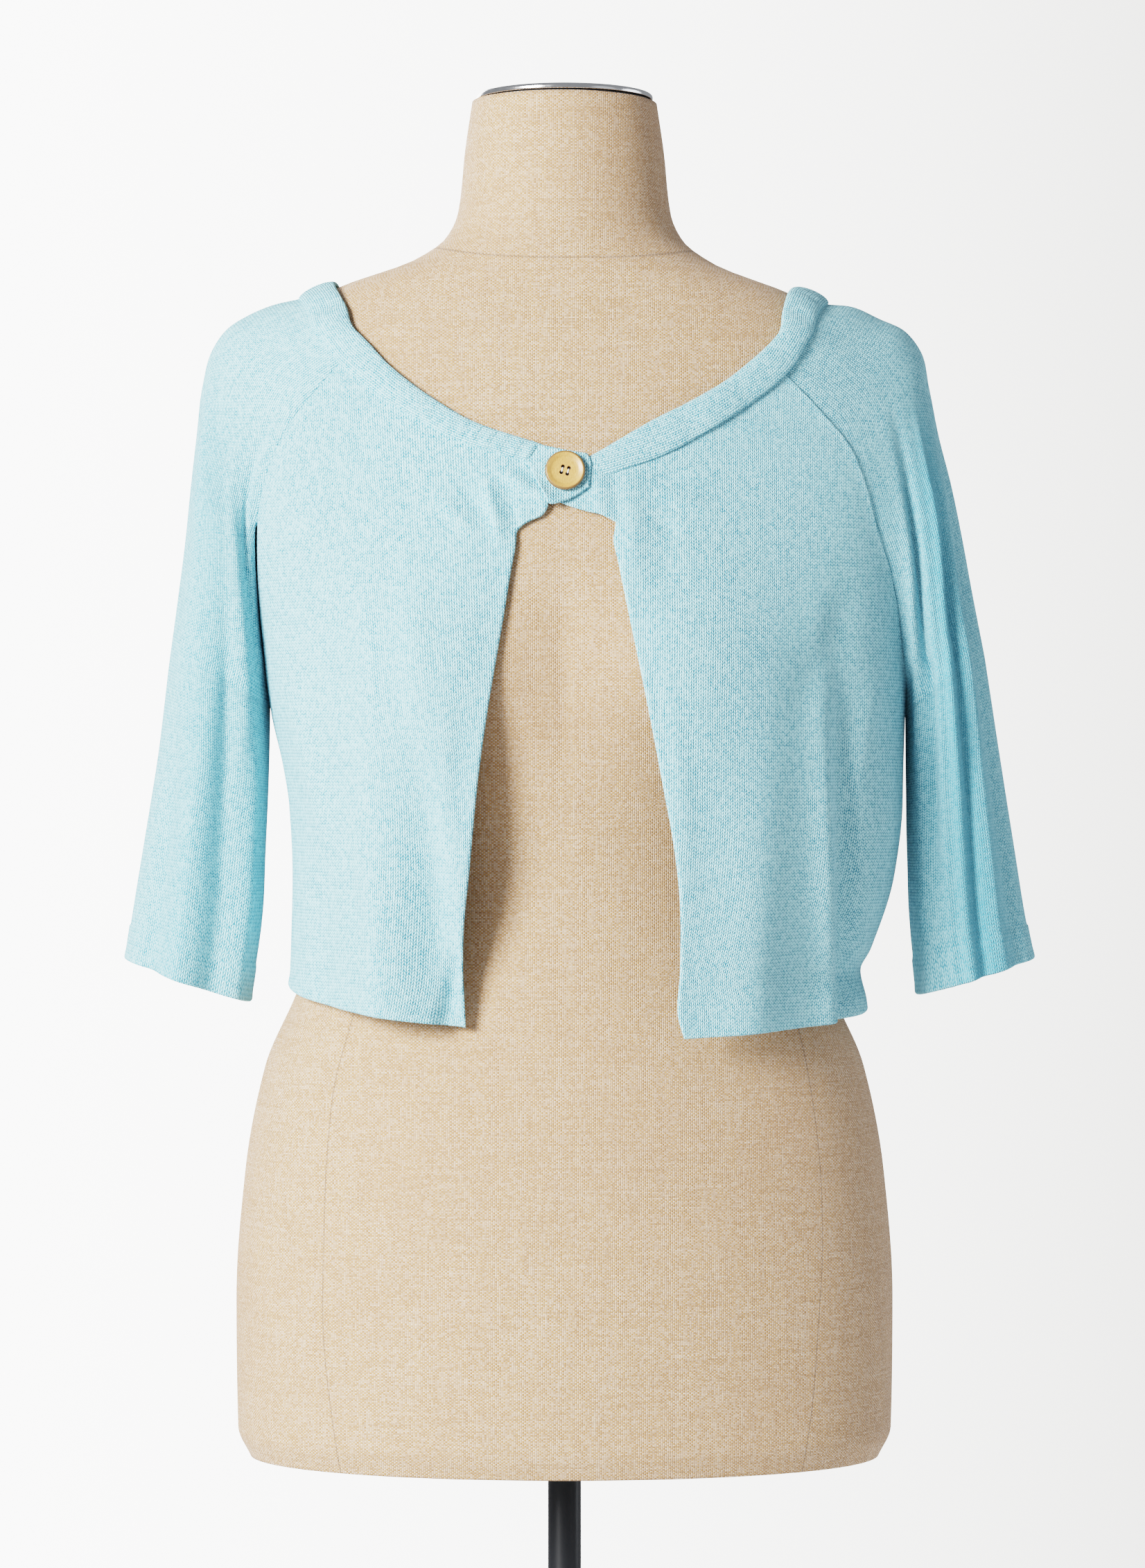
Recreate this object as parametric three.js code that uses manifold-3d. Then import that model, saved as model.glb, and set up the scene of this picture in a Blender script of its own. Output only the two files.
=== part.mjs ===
// A cropped open knitted shrug with raglan three-quarter sleeves, a rolled neckband and one button,
// on a linen-covered dress form with a neck cap, a pole and a round base plate.
// Millimetres, +Z up, the front of the form faces -Y, the origin is on the floor under the pole.

import * as THREE from "three";
import { mergeVertices } from "three/addons/utils/BufferGeometryUtils.js";
import Module from "manifold-3d";

// Driving dimensions
const wall = 1.9; // the knit, with its fold-back at the edges
const seamGap = 0.3; // between pieces that are sewn or seated together
const bandGap = 0.5; // each panel's top edge from the neckband's own edge line
const formBottom = 620; // the flat underside above the floor
const neckTop = 1437.5;
const shoulderDrop = 4; // the wearer's left shoulder sits a little lower
const fullness = 0.9; // 1 is an ellipse in plan, less is squarer
const capRadius = 53.5;
const capHeight = 3.6;
const gasketHeight = 0.9;
const poleRadius = 10;
const socketRadius = 32;
const socketHeight = 12;
const plateRadius = 165;
const plateHeight = 8;
const buttonRadius = 11.8;
const buttonHeight = 3.4;
const buttonHoleRadius = 1.05;
const buttonHoleOffset = 1.8;
const buttonTurn = -15;
const buttonPlace = { x: 0.6, height: 1206.4 };
const bandRise = 3.2; // how far the rolled band stands above the cloth beside it
const tabLift = 2.6; // the tab lies on the underlap
const sleeveHemDepth = 21;
const sleeveHemRise = 0.7;
const frontHem = 880; // where the hanging folds are at their fullest
const foldsFull = 20; // and how far above it they reach that
const buttonClearance = 0.6; // from the tab to the button's flat back, over its curve

// How finely the pieces are divided
const formSides = 40;
const neckSteps = 7; // along the band on each front
const raglanSteps = 14;
const sideSteps = 12;
const frontColumns = 15;
const backColumns = 20;
const sleeveColumns = 20;
const tubeSteps = 11;
const bandColumns = 6;
const stripColumns = 6; // across the tab and the underlap
const tabSteps = 9;
const underlapSteps = 6;

// How a sleeve's sections leave the seam and meet its outer line, as shares of their span and depth
const seamPull = 0.38;
const outerPull = 0.55;
const fullFrom = 0.2; // where along the raglan the sections begin to take the tube's depth
const fullAt = 0.62; // and where they have it
const drawnRows = 5; // rows at the top that are drawn to the band
const outerBehind = 7; // the tube's outer edge lies this far behind its middle
const sideFrom = 0.86; // where along the raglan the seam starts to turn to the form's side
const alike = 0.35; // least cosine between a sleeve's normal and the cloth's for the seam to share it

// The form's level sections, and the cloth's, which is the surface that the fronts, back and band lie on
const formRings = smoothTable("height width front back", [
  [1437.5, 56, 56, 56],
  [1409, 60.2, 58, 58],
  [1371, 64.5, 61, 62],
  [1355, 72, 64, 66],
  [1341, 92, 68, 72],
  [1325, 137, 73, 79],
  [1307, 173, 80, 86],
  [1290, 196.5, 87, 92],
  [1262, 202.5, 95, 98],
  [1205, 192, 108, 103],
  [1150, 177, 116, 103],
  [1095, 165, 120, 99],
  [1035, 152, 113, 91],
  [970, 142, 103, 86],
  [902, 161, 109, 98],
  [855, 181, 117, 112],
  [790, 193.3, 124, 124],
  [716, 198.5, 126, 128],
  [637, 197.4, 123, 123],
  [620, 190, 116, 116],
]);
const clothRings = smoothTable("height right left front back", [
  [1342, 101, 101, 71.5, 76],
  [1328, 139, 139, 75.5, 82],
  [1310, 176, 176, 83, 89],
  [1293, 200, 200, 90, 95],
  [1264, 206, 207.5, 98.5, 101.5],
  [1205, 199, 209, 111.5, 106.5],
  [1150, 190, 208, 120, 107.5],
  [1095, 181.5, 207, 124.5, 108],
  [1066, 177, 206, 126.5, 108],
  [1035, 170, 205, 129, 108],
  [1012, 166.5, 204.5, 131, 108.5],
  [970, 164.5, 199.5, 134.5, 110],
  [926, 165.5, 185.5, 137, 114],
  [912, 166, 179.5, 138, 116],
  [894, 168.5, 183, 139, 118],
  [870, 175, 183.5, 140, 121],
]);
const bust = { x: 85, height: 1095, rise: 22, spread: 62, above: 58, below: 55, clothBelow: 170 };

// Folds in the hanging cloth: where each one's middle lies across at its top and at the hem, the height where
// it starts, its half-width, and how far it stands out (a trough is negative). side 1 is front, -1 back.
const bodyFolds = table("side xTop xHem start halfWidth rise", [
  [1, -78, -88, 1040, 13, -6],
  [1, -112, -118, 1060, 15, 4],
  [1, -140, -144, 1010, 9, -4],
  [1, -56, -61, 935, 6, -13],
  [1, 150, 146, 1100, 11, -9],
  [1, 116, 108, 1120, 17, 5],
  [1, 172, 168, 1070, 8, 4],
  [1, 80, 84, 1000, 10, -3],
  [-1, -70, -78, 1120, 16, -6],
  [-1, -20, -26, 1080, 14, 5],
  [-1, 46, 50, 1100, 13, -6],
  [-1, 104, 112, 1130, 16, 5],
  [-1, -122, -130, 1100, 13, 4],
]);

// The neckband's two edges, from the tab round the back to the button. face 1 is the front of the form,
// 0 the shoulder ridge, -1 the back. On the ridge x only gives the side.
const bandRows = table("face outerX outerHeight innerX innerHeight", [
  [1, -22, 1212.5, -14, 1223.5],
  [1, -61, 1225, -54, 1237.5],
  [1, -86, 1238, -77.7, 1251.7],
  [1, -112.6, 1255.7, -101.6, 1270.4],
  [1, -133, 1273.4, -117, 1287],
  [1, -147, 1293, -128, 1304],
  [0, -159, 1318.4, -138, 1328.5],
  [-1, -147, 1304, -129, 1314.5],
  [-1, -124, 1288, -112, 1302.5],
  [-1, -84, 1276, -76, 1292.5],
  [-1, -42, 1269.5, -38, 1286.5],
  [-1, 0, 1267.5, 0, 1285],
  [-1, 42, 1269.5, 38, 1286.5],
  [-1, 84, 1276, 76, 1292.5],
  [-1, 124, 1288, 112, 1302.5],
  [-1, 147, 1304, 129, 1314.5],
  [0, 157, 1319, 138, 1328.5],
  [1, 145, 1294, 129, 1305],
  [1, 130, 1270, 113.6, 1281],
  [1, 106, 1249.5, 93, 1263],
  [1, 82, 1233, 72, 1249.5],
  [1, 58.4, 1218.6, 51, 1238],
  [1, 28, 1206, 19, 1218.5],
]);
// Rows of the band where other pieces begin and end
const bandAt = {
  tab: 0, raglanFrontRight: 4, ridgeRight: 6, raglanBackRight: 8,
  raglanBackLeft: 14, ridgeLeft: 16, raglanFrontLeft: 18, button: 22,
};

// The raglan seams, from the band down to the underarm
const raglans = {
  right: {
    front: table("x height", [
      [-133, 1273.4], [-148, 1257], [-163, 1239], [-176, 1214], [-182.5, 1192],
      [-184.5, 1160], [-183.5, 1128], [-180.5, 1095], [-177.8, 1071],
    ]),
    back: table("x height", [
      [-124, 1288], [-143, 1264], [-161, 1236], [-174, 1206], [-181, 1172],
      [-182.5, 1140], [-182, 1112], [-180.5, 1090], [-177.8, 1071],
    ]),
  },
  left: {
    front: table("x height", [
      [130, 1270], [143, 1257], [156, 1242.5], [168, 1228], [178.5, 1204],
      [186, 1176], [195, 1148], [202, 1108], [206, 1068],
    ]),
    back: table("x height", [
      [124, 1288], [144, 1264], [164, 1236], [181, 1206], [193, 1174],
      [200, 1142], [203.5, 1112], [205.5, 1088], [206, 1068],
    ]),
  },
};
const underarmHeight = { right: 1071, left: 1068 };
const sideHemHeight = { right: 905, left: 889 };

// The free centre-front edges, from the band to the hem corner
const frontEdges = {
  right: table("x height", [
    [-22, 1212.5], [-15.5, 1203], [-11.5, 1195], [-9.1, 1187.3], [-12.3, 1181.6],
    [-20, 1178], [-27, 1172.7], [-28, 1164], [-30.5, 1150], [-34.5, 1124],
    [-44.6, 1063], [-49, 1032], [-52.5, 1002], [-56, 970], [-60.5, 937], [-62.5, 915], [-62, 883.5],
  ]),
  left: table("x height", [
    [28, 1206], [30, 1190], [29.8, 1176], [28.6, 1166.6], [30.8, 1156],
    [36.7, 1126], [48.5, 1067.5], [56.8, 1024], [63, 990], [66.8, 955],
    [67, 916], [66, 890], [69.5, 877.6],
  ]),
};

// The sleeves' outer line over the shoulder and down the arm, just behind the form's middle
const sleeveOuter = {
  right: table("x y height", [
    [-176, 0, 1315], [-192, 1, 1308.5], [-204, 2, 1301], [-213.5, 3, 1288], [-219.5, 4, 1266],
    [-223, 5, 1236], [-226.5, 6, 1205], [-230, 7, 1172], [-234.5, 8, 1138], [-240, 9, 1098],
  ]),
  left: table("x y height", [
    [173, 0, 1315], [191, 1, 1309], [206, 2, 1303], [216, 3, 1290], [221, 4, 1265],
    [227, 5, 1235], [234, 6, 1208], [241, 7, 1175], [247, 8, 1143], [255, 9, 1102],
  ]),
};
// The tube below the underarm: its outer and inner edges, the depth of its middle, and how far it bulges to the
// front and back
const sleeveTubes = {
  right: table("outerX outerHeight innerX innerHeight middle frontBulge backBulge", [
    [-240, 1098, -178.6, 1071, 2, 47, 50],
    [-247, 1042, -179.5, 1030, 3, 46, 50],
    [-255, 993, -181.5, 985, 4, 45, 51],
    [-262, 951, -184, 940, 5, 44, 52],
    [-267, 919, -191, 893, 6, 43, 52],
  ]),
  left: table("outerX outerHeight innerX innerHeight middle frontBulge backBulge", [
    [255, 1102, 206.8, 1068, 2, 44, 50],
    [265, 1040, 207.5, 1026, 6, 42, 52],
    [274, 985, 208.5, 980, 9, 41, 54],
    [281, 943, 210.5, 936, 11, 40, 55],
    [286, 919, 214.5, 897, 12, 39, 55],
  ]),
};
// Folds along the sleeves: where each lies round the tube (0 inner edge, 0.5 outer edge, 1 inner edge again),
// at the top and at the cuff, where it starts (0 band, 1 cuff), its half-width round the tube, and its rise
const sleeveFolds = {
  right: table("top cuff start halfWidth rise", [
    [0.2, 0.16, 0.3, 0.05, -5],
    [0.3, 0.3, 0.45, 0.05, 3],
    [0.72, 0.7, 0.5, 0.06, -6],
  ]),
  left: table("top cuff start halfWidth rise", [
    [0.26, 0.2, 0.42, 0.05, -7],
    [0.34, 0.31, 0.35, 0.04, 5],
    [0.42, 0.42, 0.55, 0.04, -4],
    [0.74, 0.76, 0.5, 0.06, -6],
  ]),
};

// The tab, from the fronts' meeting line to its free end, and the underlap behind it: upper and lower edges
const tabRows = table("topX topHeight bottomX bottomHeight", [
  [-13.4, 1222.8, -21.3, 1212.2],
  [-9, 1221.6, -15, 1202.6],
  [-4, 1220.4, -11, 1195],
  [2, 1219.2, -8, 1187.4],
  [9, 1218, 0, 1189],
  [14, 1216.4, 8.6, 1193.4],
  [16, 1211, 14.6, 1197.4],
]);
const underlapRows = table("topX topHeight bottomX bottomHeight", [
  [-3, 1205, -2.4, 1188.6],
  [8, 1204.6, 10, 1184.6],
  [17, 1204.8, 20, 1181.8],
  [27.6, 1205.4, 29.6, 1177],
]);

// Finishes
const knitPale = new THREE.MeshStandardMaterial({ color: 0x9fd4de, roughness: 0.92, metalness: 0 });
const linen = new THREE.MeshStandardMaterial({ color: 0xc9b493, roughness: 0.88, metalness: 0 });
const polishedMetal = new THREE.MeshStandardMaterial({ color: 0xc8cacc, roughness: 0.15, metalness: 1 });
const blackRubber = new THREE.MeshStandardMaterial({ color: 0x141416, roughness: 0.7, metalness: 0 });
const blackEnamel = new THREE.MeshStandardMaterial({ color: 0x1b1d21, roughness: 0.4, metalness: 0.3 });
const buttonFinish = new THREE.MeshStandardMaterial({ color: 0xc2a25a, roughness: 0.45, metalness: 0.1 });

const clamp01 = (value) => Math.min(1, Math.max(0, value));
const mix = (a, b, t) => a + (b - a) * t;
const bell = (value) => Math.exp(-value * value);

function smoothStep(from, to, value) {
  const t = clamp01((value - from) / (to - from));
  return t * t * (3 - 2 * t);
}

// Rows of numbers as objects with the named columns
function table(names, rows) {
  const columns = names.split(" ");
  return rows.map((row) => Object.fromEntries(columns.map((name, c) => [name, row[c]])));
}

// Tangents for a smooth curve through values at rising knots; monotone ones never overshoot
function tangents(knots, values, monotone) {
  const steps = values.slice(1).map((v, i) => (v - values[i]) / (knots[i + 1] - knots[i]));
  return values.map((_, i) => {
    if (i === 0) return steps[0];
    if (i === values.length - 1) return steps[i - 1];
    const [before, after] = [steps[i - 1], steps[i]];
    const [h0, h1] = [knots[i] - knots[i - 1], knots[i + 1] - knots[i]];
    if (!monotone) return (before * h1 + after * h0) / (h0 + h1);
    return before * after <= 0 ? 0 : (3 * (h0 + h1)) / ((2 * h1 + h0) / before + (h1 + 2 * h0) / after);
  });
}

function hermite(knots, values, slopes, at) {
  let i = 0;
  while (i < knots.length - 2 && at > knots[i + 1]) i += 1;
  const h = knots[i + 1] - knots[i];
  const t = clamp01((at - knots[i]) / h);
  const [t2, t3] = [t * t, t * t * t];
  return values[i] * (2 * t3 - 3 * t2 + 1) + values[i + 1] * (3 * t2 - 2 * t3)
    + slopes[i] * h * (t3 - 2 * t2 + t) + slopes[i + 1] * h * (t3 - t2);
}

// A table that gives every column at any value of its first one
function smoothTable(names, rows) {
  const columns = names.split(" ");
  const sorted = [...rows].sort((a, b) => a[0] - b[0]);
  const knots = sorted.map((row) => row[0]);
  const curves = columns.map((name, c) => {
    const values = sorted.map((row) => row[c]);
    return [name, values, tangents(knots, values, true)];
  });
  return (at) => Object.fromEntries(curves.map(([name, v, s]) => [name, hermite(knots, v, s, at)]));
}

// A smooth curve through a list of objects, read at 0 to 1 along it or, with knot, at a row's own place
function smoothPath(rows, apart) {
  const names = Object.keys(rows[0]);
  const knots = [0];
  rows.slice(1).forEach((row, i) => knots.push(knots[i] + apart(rows[i], row)));
  const last = knots[knots.length - 1];
  const curves = names.map((name) => {
    const values = rows.map((row) => row[name]);
    return [name, values, tangents(knots, values, false)];
  });
  const path = (at) => Object.fromEntries(
    curves.map(([name, v, s]) => [name, hermite(knots, v, s, at * last)]),
  );
  path.knot = (row) => knots[row] / last;
  return path;
}

// The body surfaces: turn is the angle round the form, 0 at the centre front, +90 at the wearer's left side
function sectionPoint(turn, height, width, front, back, bustBelow) {
  const angle = THREE.MathUtils.degToRad(turn);
  const [across, ahead] = [Math.sin(angle), Math.cos(angle)];
  const x = width * across;
  let y = ahead > 0 ? -front * ahead ** fullness : back * (-ahead) ** fullness;
  if (ahead > 0) {
    const spread = height > bust.height ? bust.above : bustBelow;
    y -= bust.rise * bell((Math.abs(x) - bust.x) / bust.spread) * bell((height - bust.height) / spread)
      * Math.sqrt(ahead);
  }
  return new THREE.Vector3(x, y, height - dropAt(x, height));
}

function dropAt(x, height) {
  return shoulderDrop * smoothStep(0, 150, x) * smoothStep(1180, 1300, height);
}

function formPoint(turn, height) {
  const ring = formRings(height);
  return sectionPoint(turn, height, ring.width, ring.front, ring.back, bust.below);
}

function clothBase(turn, height) {
  const ring = clothRings(height);
  const width = Math.sin(THREE.MathUtils.degToRad(turn)) < 0 ? ring.right : ring.left;
  return sectionPoint(turn, height, width, ring.front, ring.back, bust.clothBelow);
}

// The turn of a point of the cloth surface from its distance across; face is 1 for the front, -1 for the back
function turnAt(x, height, face) {
  const ring = clothRings(height);
  const ratio = THREE.MathUtils.clamp(x / (x < 0 ? ring.right : ring.left), -1, 1);
  const turn = face === 0 ? 90 * Math.sign(x) : THREE.MathUtils.radToDeg(Math.asin(ratio));
  if (face >= 0) return turn;
  return x < 0 ? -180 - turn : 180 - turn;
}

function foldRise(point, turn, height) {
  const side = Math.cos(THREE.MathUtils.degToRad(turn)) > 0 ? 1 : -1;
  return bodyFolds.filter((fold) => fold.side === side).reduce((sum, fold) => {
    const down = smoothStep(fold.start, frontHem + foldsFull, height);
    const lower = clamp01((fold.start - height) / (fold.start - frontHem));
    const middle = mix(fold.xTop, fold.xHem, lower);
    return sum + fold.rise * down * bell((point.x - middle) / fold.halfWidth);
  }, 0);
}

// A point of the cloth surface with its outward normal, lifted off it by a given height
function clothPoint(turn, height, lift = 0) {
  const point = clothBase(turn, height);
  const along = clothBase(turn + 0.5, height).sub(clothBase(turn - 0.5, height));
  const up = clothBase(turn, height + 1).sub(clothBase(turn, height - 1));
  const normal = along.cross(up).normalize();
  point.addScaledVector(normal, lift + foldRise(point, turn, height));
  return { point, normal };
}

// Grids: rows of columns of { point, normal }. Sheet walls and their seams
function gridNormals(grid, sign) {
  const rows = grid.length;
  const columns = grid[0].length;
  const pick = (i, j) => grid[THREE.MathUtils.clamp(i, 0, rows - 1)][THREE.MathUtils.clamp(j, 0, columns - 1)];
  return grid.map((row, i) => row.map((cell, j) => {
    const down = pick(i + 1, j).point.clone().sub(pick(i - 1, j).point);
    const along = pick(i, j + 1).point.clone().sub(pick(i, j - 1).point);
    return down.cross(along).normalize().multiplyScalar(sign);
  }));
}

// Draws each named side of a grid back, square to its own edge
function trimmed(grid, sides, amount = seamGap / 2) {
  const rows = grid.length - 1;
  const columns = grid[0].length - 1;
  const moves = [];
  const edges = {
    top: grid[0].map((_, j) => [0, j, 1, j, 0, 1]),
    bottom: grid[0].map((_, j) => [rows, j, rows - 1, j, 0, 1]),
    first: grid.map((_, i) => [i, 0, i, 1, 1, 0]),
    last: grid.map((_, i) => [i, columns, i, columns - 1, 1, 0]),
  };
  sides.forEach((side) => edges[side].forEach(([i, j, inI, inJ, di, dj]) => {
    const here = grid[i][j].point;
    const before = grid[Math.max(0, i - di)][Math.max(0, j - dj)].point;
    const after = grid[Math.min(rows, i + di)][Math.min(columns, j + dj)].point;
    const tangent = after.clone().sub(before).normalize();
    const inward = grid[inI][inJ].point.clone().sub(here);
    inward.addScaledVector(tangent, -inward.dot(tangent));
    moves.push([here, inward.normalize().multiplyScalar(amount)]);
  }));
  moves.forEach(([point, move]) => point.add(move));
  return grid;
}

// A closed wall: the outer points, the inner ones behind them by a thickness that may differ from column to
// column, and the four edges
function wallGeometry(grid, thickness = () => wall) {
  const rows = grid.length;
  const columns = grid[0].length;
  const positions = [];
  grid.forEach((row) => row.forEach(({ point }) => positions.push(...point)));
  grid.forEach((row) => row.forEach(({ point, normal }, j) => {
    positions.push(...point.clone().addScaledVector(normal, -thickness(j)));
  }));
  const outer = (i, j) => i * columns + j;
  const inner = (i, j) => rows * columns + outer(i, j);
  const index = [];
  const quad = (a, b, c, d) => index.push(a, b, c, a, c, d);
  for (let i = 0; i < rows - 1; i += 1) {
    for (let j = 0; j < columns - 1; j += 1) {
      quad(outer(i, j), outer(i + 1, j), outer(i + 1, j + 1), outer(i, j + 1));
      quad(inner(i, j), inner(i, j + 1), inner(i + 1, j + 1), inner(i + 1, j));
    }
    quad(outer(i, 0), inner(i, 0), inner(i + 1, 0), outer(i + 1, 0));
    quad(outer(i + 1, columns - 1), inner(i + 1, columns - 1), inner(i, columns - 1), outer(i, columns - 1));
  }
  for (let j = 0; j < columns - 1; j += 1) {
    quad(outer(0, j + 1), inner(0, j + 1), inner(0, j), outer(0, j));
    quad(outer(rows - 1, j), inner(rows - 1, j), inner(rows - 1, j + 1), outer(rows - 1, j + 1));
  }
  return facingOut(positions, index);
}

function facingOut(positions, index) {
  const corner = (k) => new THREE.Vector3().fromArray(positions, index[k] * 3);
  let volume = 0;
  for (let k = 0; k < index.length; k += 3) volume += corner(k).dot(corner(k + 1).cross(corner(k + 2)));
  if (volume < 0) {
    for (let k = 0; k < index.length; k += 3) [index[k + 1], index[k + 2]] = [index[k + 2], index[k + 1]];
  }
  return new THREE.BufferGeometry()
    .setAttribute("position", new THREE.Float32BufferAttribute(positions, 3))
    .setIndex(index);
}

// The neckband's edges as one path round the form, in turn and height
const bandPath = (() => {
  const rows = bandRows.map(({ face, outerX, outerHeight, innerX, innerHeight }) => {
    const unwind = (x, turn) => (x > 0 || turn === 180 ? turn - 360 : turn);
    const outerTurn = unwind(outerX, turnAt(outerX, outerHeight, face));
    const innerTurn = unwind(innerX, turnAt(innerX, innerHeight, face));
    return { outerTurn, outerHeight, innerTurn, innerHeight };
  });
  return smoothPath(rows, (a, b) => Math.hypot((b.outerTurn - a.outerTurn) * 2, b.outerHeight - a.outerHeight));
})();

// The band's outer edge between two of its rows, at 0 to 1 of the way
function bandEdge(fromRow, toRow, at) {
  const { outerTurn, outerHeight } = bandPath(mix(bandPath.knot(fromRow), bandPath.knot(toRow), at));
  return { turn: outerTurn, height: outerHeight };
}

function sleeveTop(side, at) {
  const [front, ridge, back] = side === "right"
    ? [bandAt.raglanFrontRight, bandAt.ridgeRight, bandAt.raglanBackRight]
    : [bandAt.raglanFrontLeft, bandAt.ridgeLeft, bandAt.raglanBackLeft];
  return at < 0.5 ? bandEdge(front, ridge, at * 2) : bandEdge(ridge, back, at * 2 - 1);
}

const apartXZ = (a, b) => Math.hypot(b.x - a.x, b.height - a.height);

// A raglan seam as turn and height at 0 to 1 from the band to the underarm
function raglanSeam(side, face) {
  const path = smoothPath(raglans[side][face > 0 ? "front" : "back"], apartXZ);
  const sideTurn = side === "right" ? -90 : 90;
  return (at) => {
    const { x, height } = path(at);
    const turn = turnAt(x, height, face);
    return { turn: mix(turn, sideTurn, smoothStep(sideFrom, 1, at)), height };
  };
}

// A panel between two edges, each a function from row number to turn and height
function panelGrid(rows, columns, startEdge, endEdge) {
  return Array.from({ length: rows + 1 }, (_, i) => {
    const [start, end] = [startEdge(i), endEdge(i)];
    return Array.from({ length: columns + 1 }, (_unused, j) => {
      const t = j / columns;
      return clothPoint(mix(start.turn, end.turn, t), mix(start.height, end.height, t));
    });
  });
}

// A panel's outer edge by row: the raglan seam, then straight down the side seam to the hem
function panelSide(side, face) {
  const sideTurn = side === "right" ? -90 : 90;
  const raglan = raglanSeam(side, face);
  return (i) => {
    if (i <= raglanSteps) return raglan(i / raglanSteps);
    const below = (i - raglanSteps) / sideSteps;
    return { turn: sideTurn, height: mix(underarmHeight[side], sideHemHeight[side], below) };
  };
}

function frontPanel(side) {
  const [neckFrom, neckTo] = side === "right"
    ? [bandAt.raglanFrontRight, bandAt.tab]
    : [bandAt.raglanFrontLeft, bandAt.button];
  const unwound = side === "right" ? 0 : 360;
  const edge = smoothPath(frontEdges[side], apartXZ);
  const rows = raglanSteps + sideSteps;
  const outerEdge = panelSide(side, 1);
  const centreEdge = (i) => {
    if (i < neckSteps) {
      const { turn, height } = bandEdge(neckFrom, neckTo, (i + 1) / (neckSteps + 1));
      return { turn: turn + unwound, height };
    }
    const { x, height } = edge((i - neckSteps) / (rows - neckSteps));
    return { turn: turnAt(x, height, 1), height };
  };
  const grid = panelGrid(rows, frontColumns, outerEdge, centreEdge);
  return wallGeometry(trimmed(trimmed(grid, ["first", "last"]), ["top"], bandGap));
}

function backPanel() {
  const rows = raglanSteps + sideSteps;
  const rightEdge = panelSide("right", -1);
  const leftEdge = panelSide("left", -1);
  const between = (i, t) => {
    const [start, end] = [rightEdge(i), leftEdge(i)];
    return { turn: mix(start.turn, end.turn - 360, t), height: mix(start.height, end.height, t) };
  };
  // The straight top row is drawn to the band's edge, and the rows after it follow a little less each
  const shifts = Array.from({ length: backColumns + 1 }, (_, j) => {
    const top = bandEdge(bandAt.raglanBackRight, bandAt.raglanBackLeft, j / backColumns);
    const first = between(0, j / backColumns);
    return { turn: top.turn - first.turn, height: top.height - first.height };
  });
  const grid = Array.from({ length: rows + 1 }, (_, i) => shifts.map((shift, j) => {
    const pull = Math.max(0, 1 - i / raglanSteps) ** 2;
    const { turn, height } = between(i, j / backColumns);
    return clothPoint(turn + shift.turn * pull, height + shift.height * pull);
  }));
  return wallGeometry(trimmed(trimmed(grid, ["first", "last"]), ["top"], bandGap));
}

// A cubic curve from a seam point to the outer line, leaving the seam along one direction and meeting the
// outer line square to the form's front
function quarterSection(start, startPull, end, endPull, t) {
  const s = 1 - t;
  return start.clone().multiplyScalar(s * s * s)
    .addScaledVector(start.clone().add(startPull), 3 * s * s * t)
    .addScaledVector(end.clone().add(endPull), 3 * s * t * t)
    .addScaledVector(end, t * t * t);
}

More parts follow.
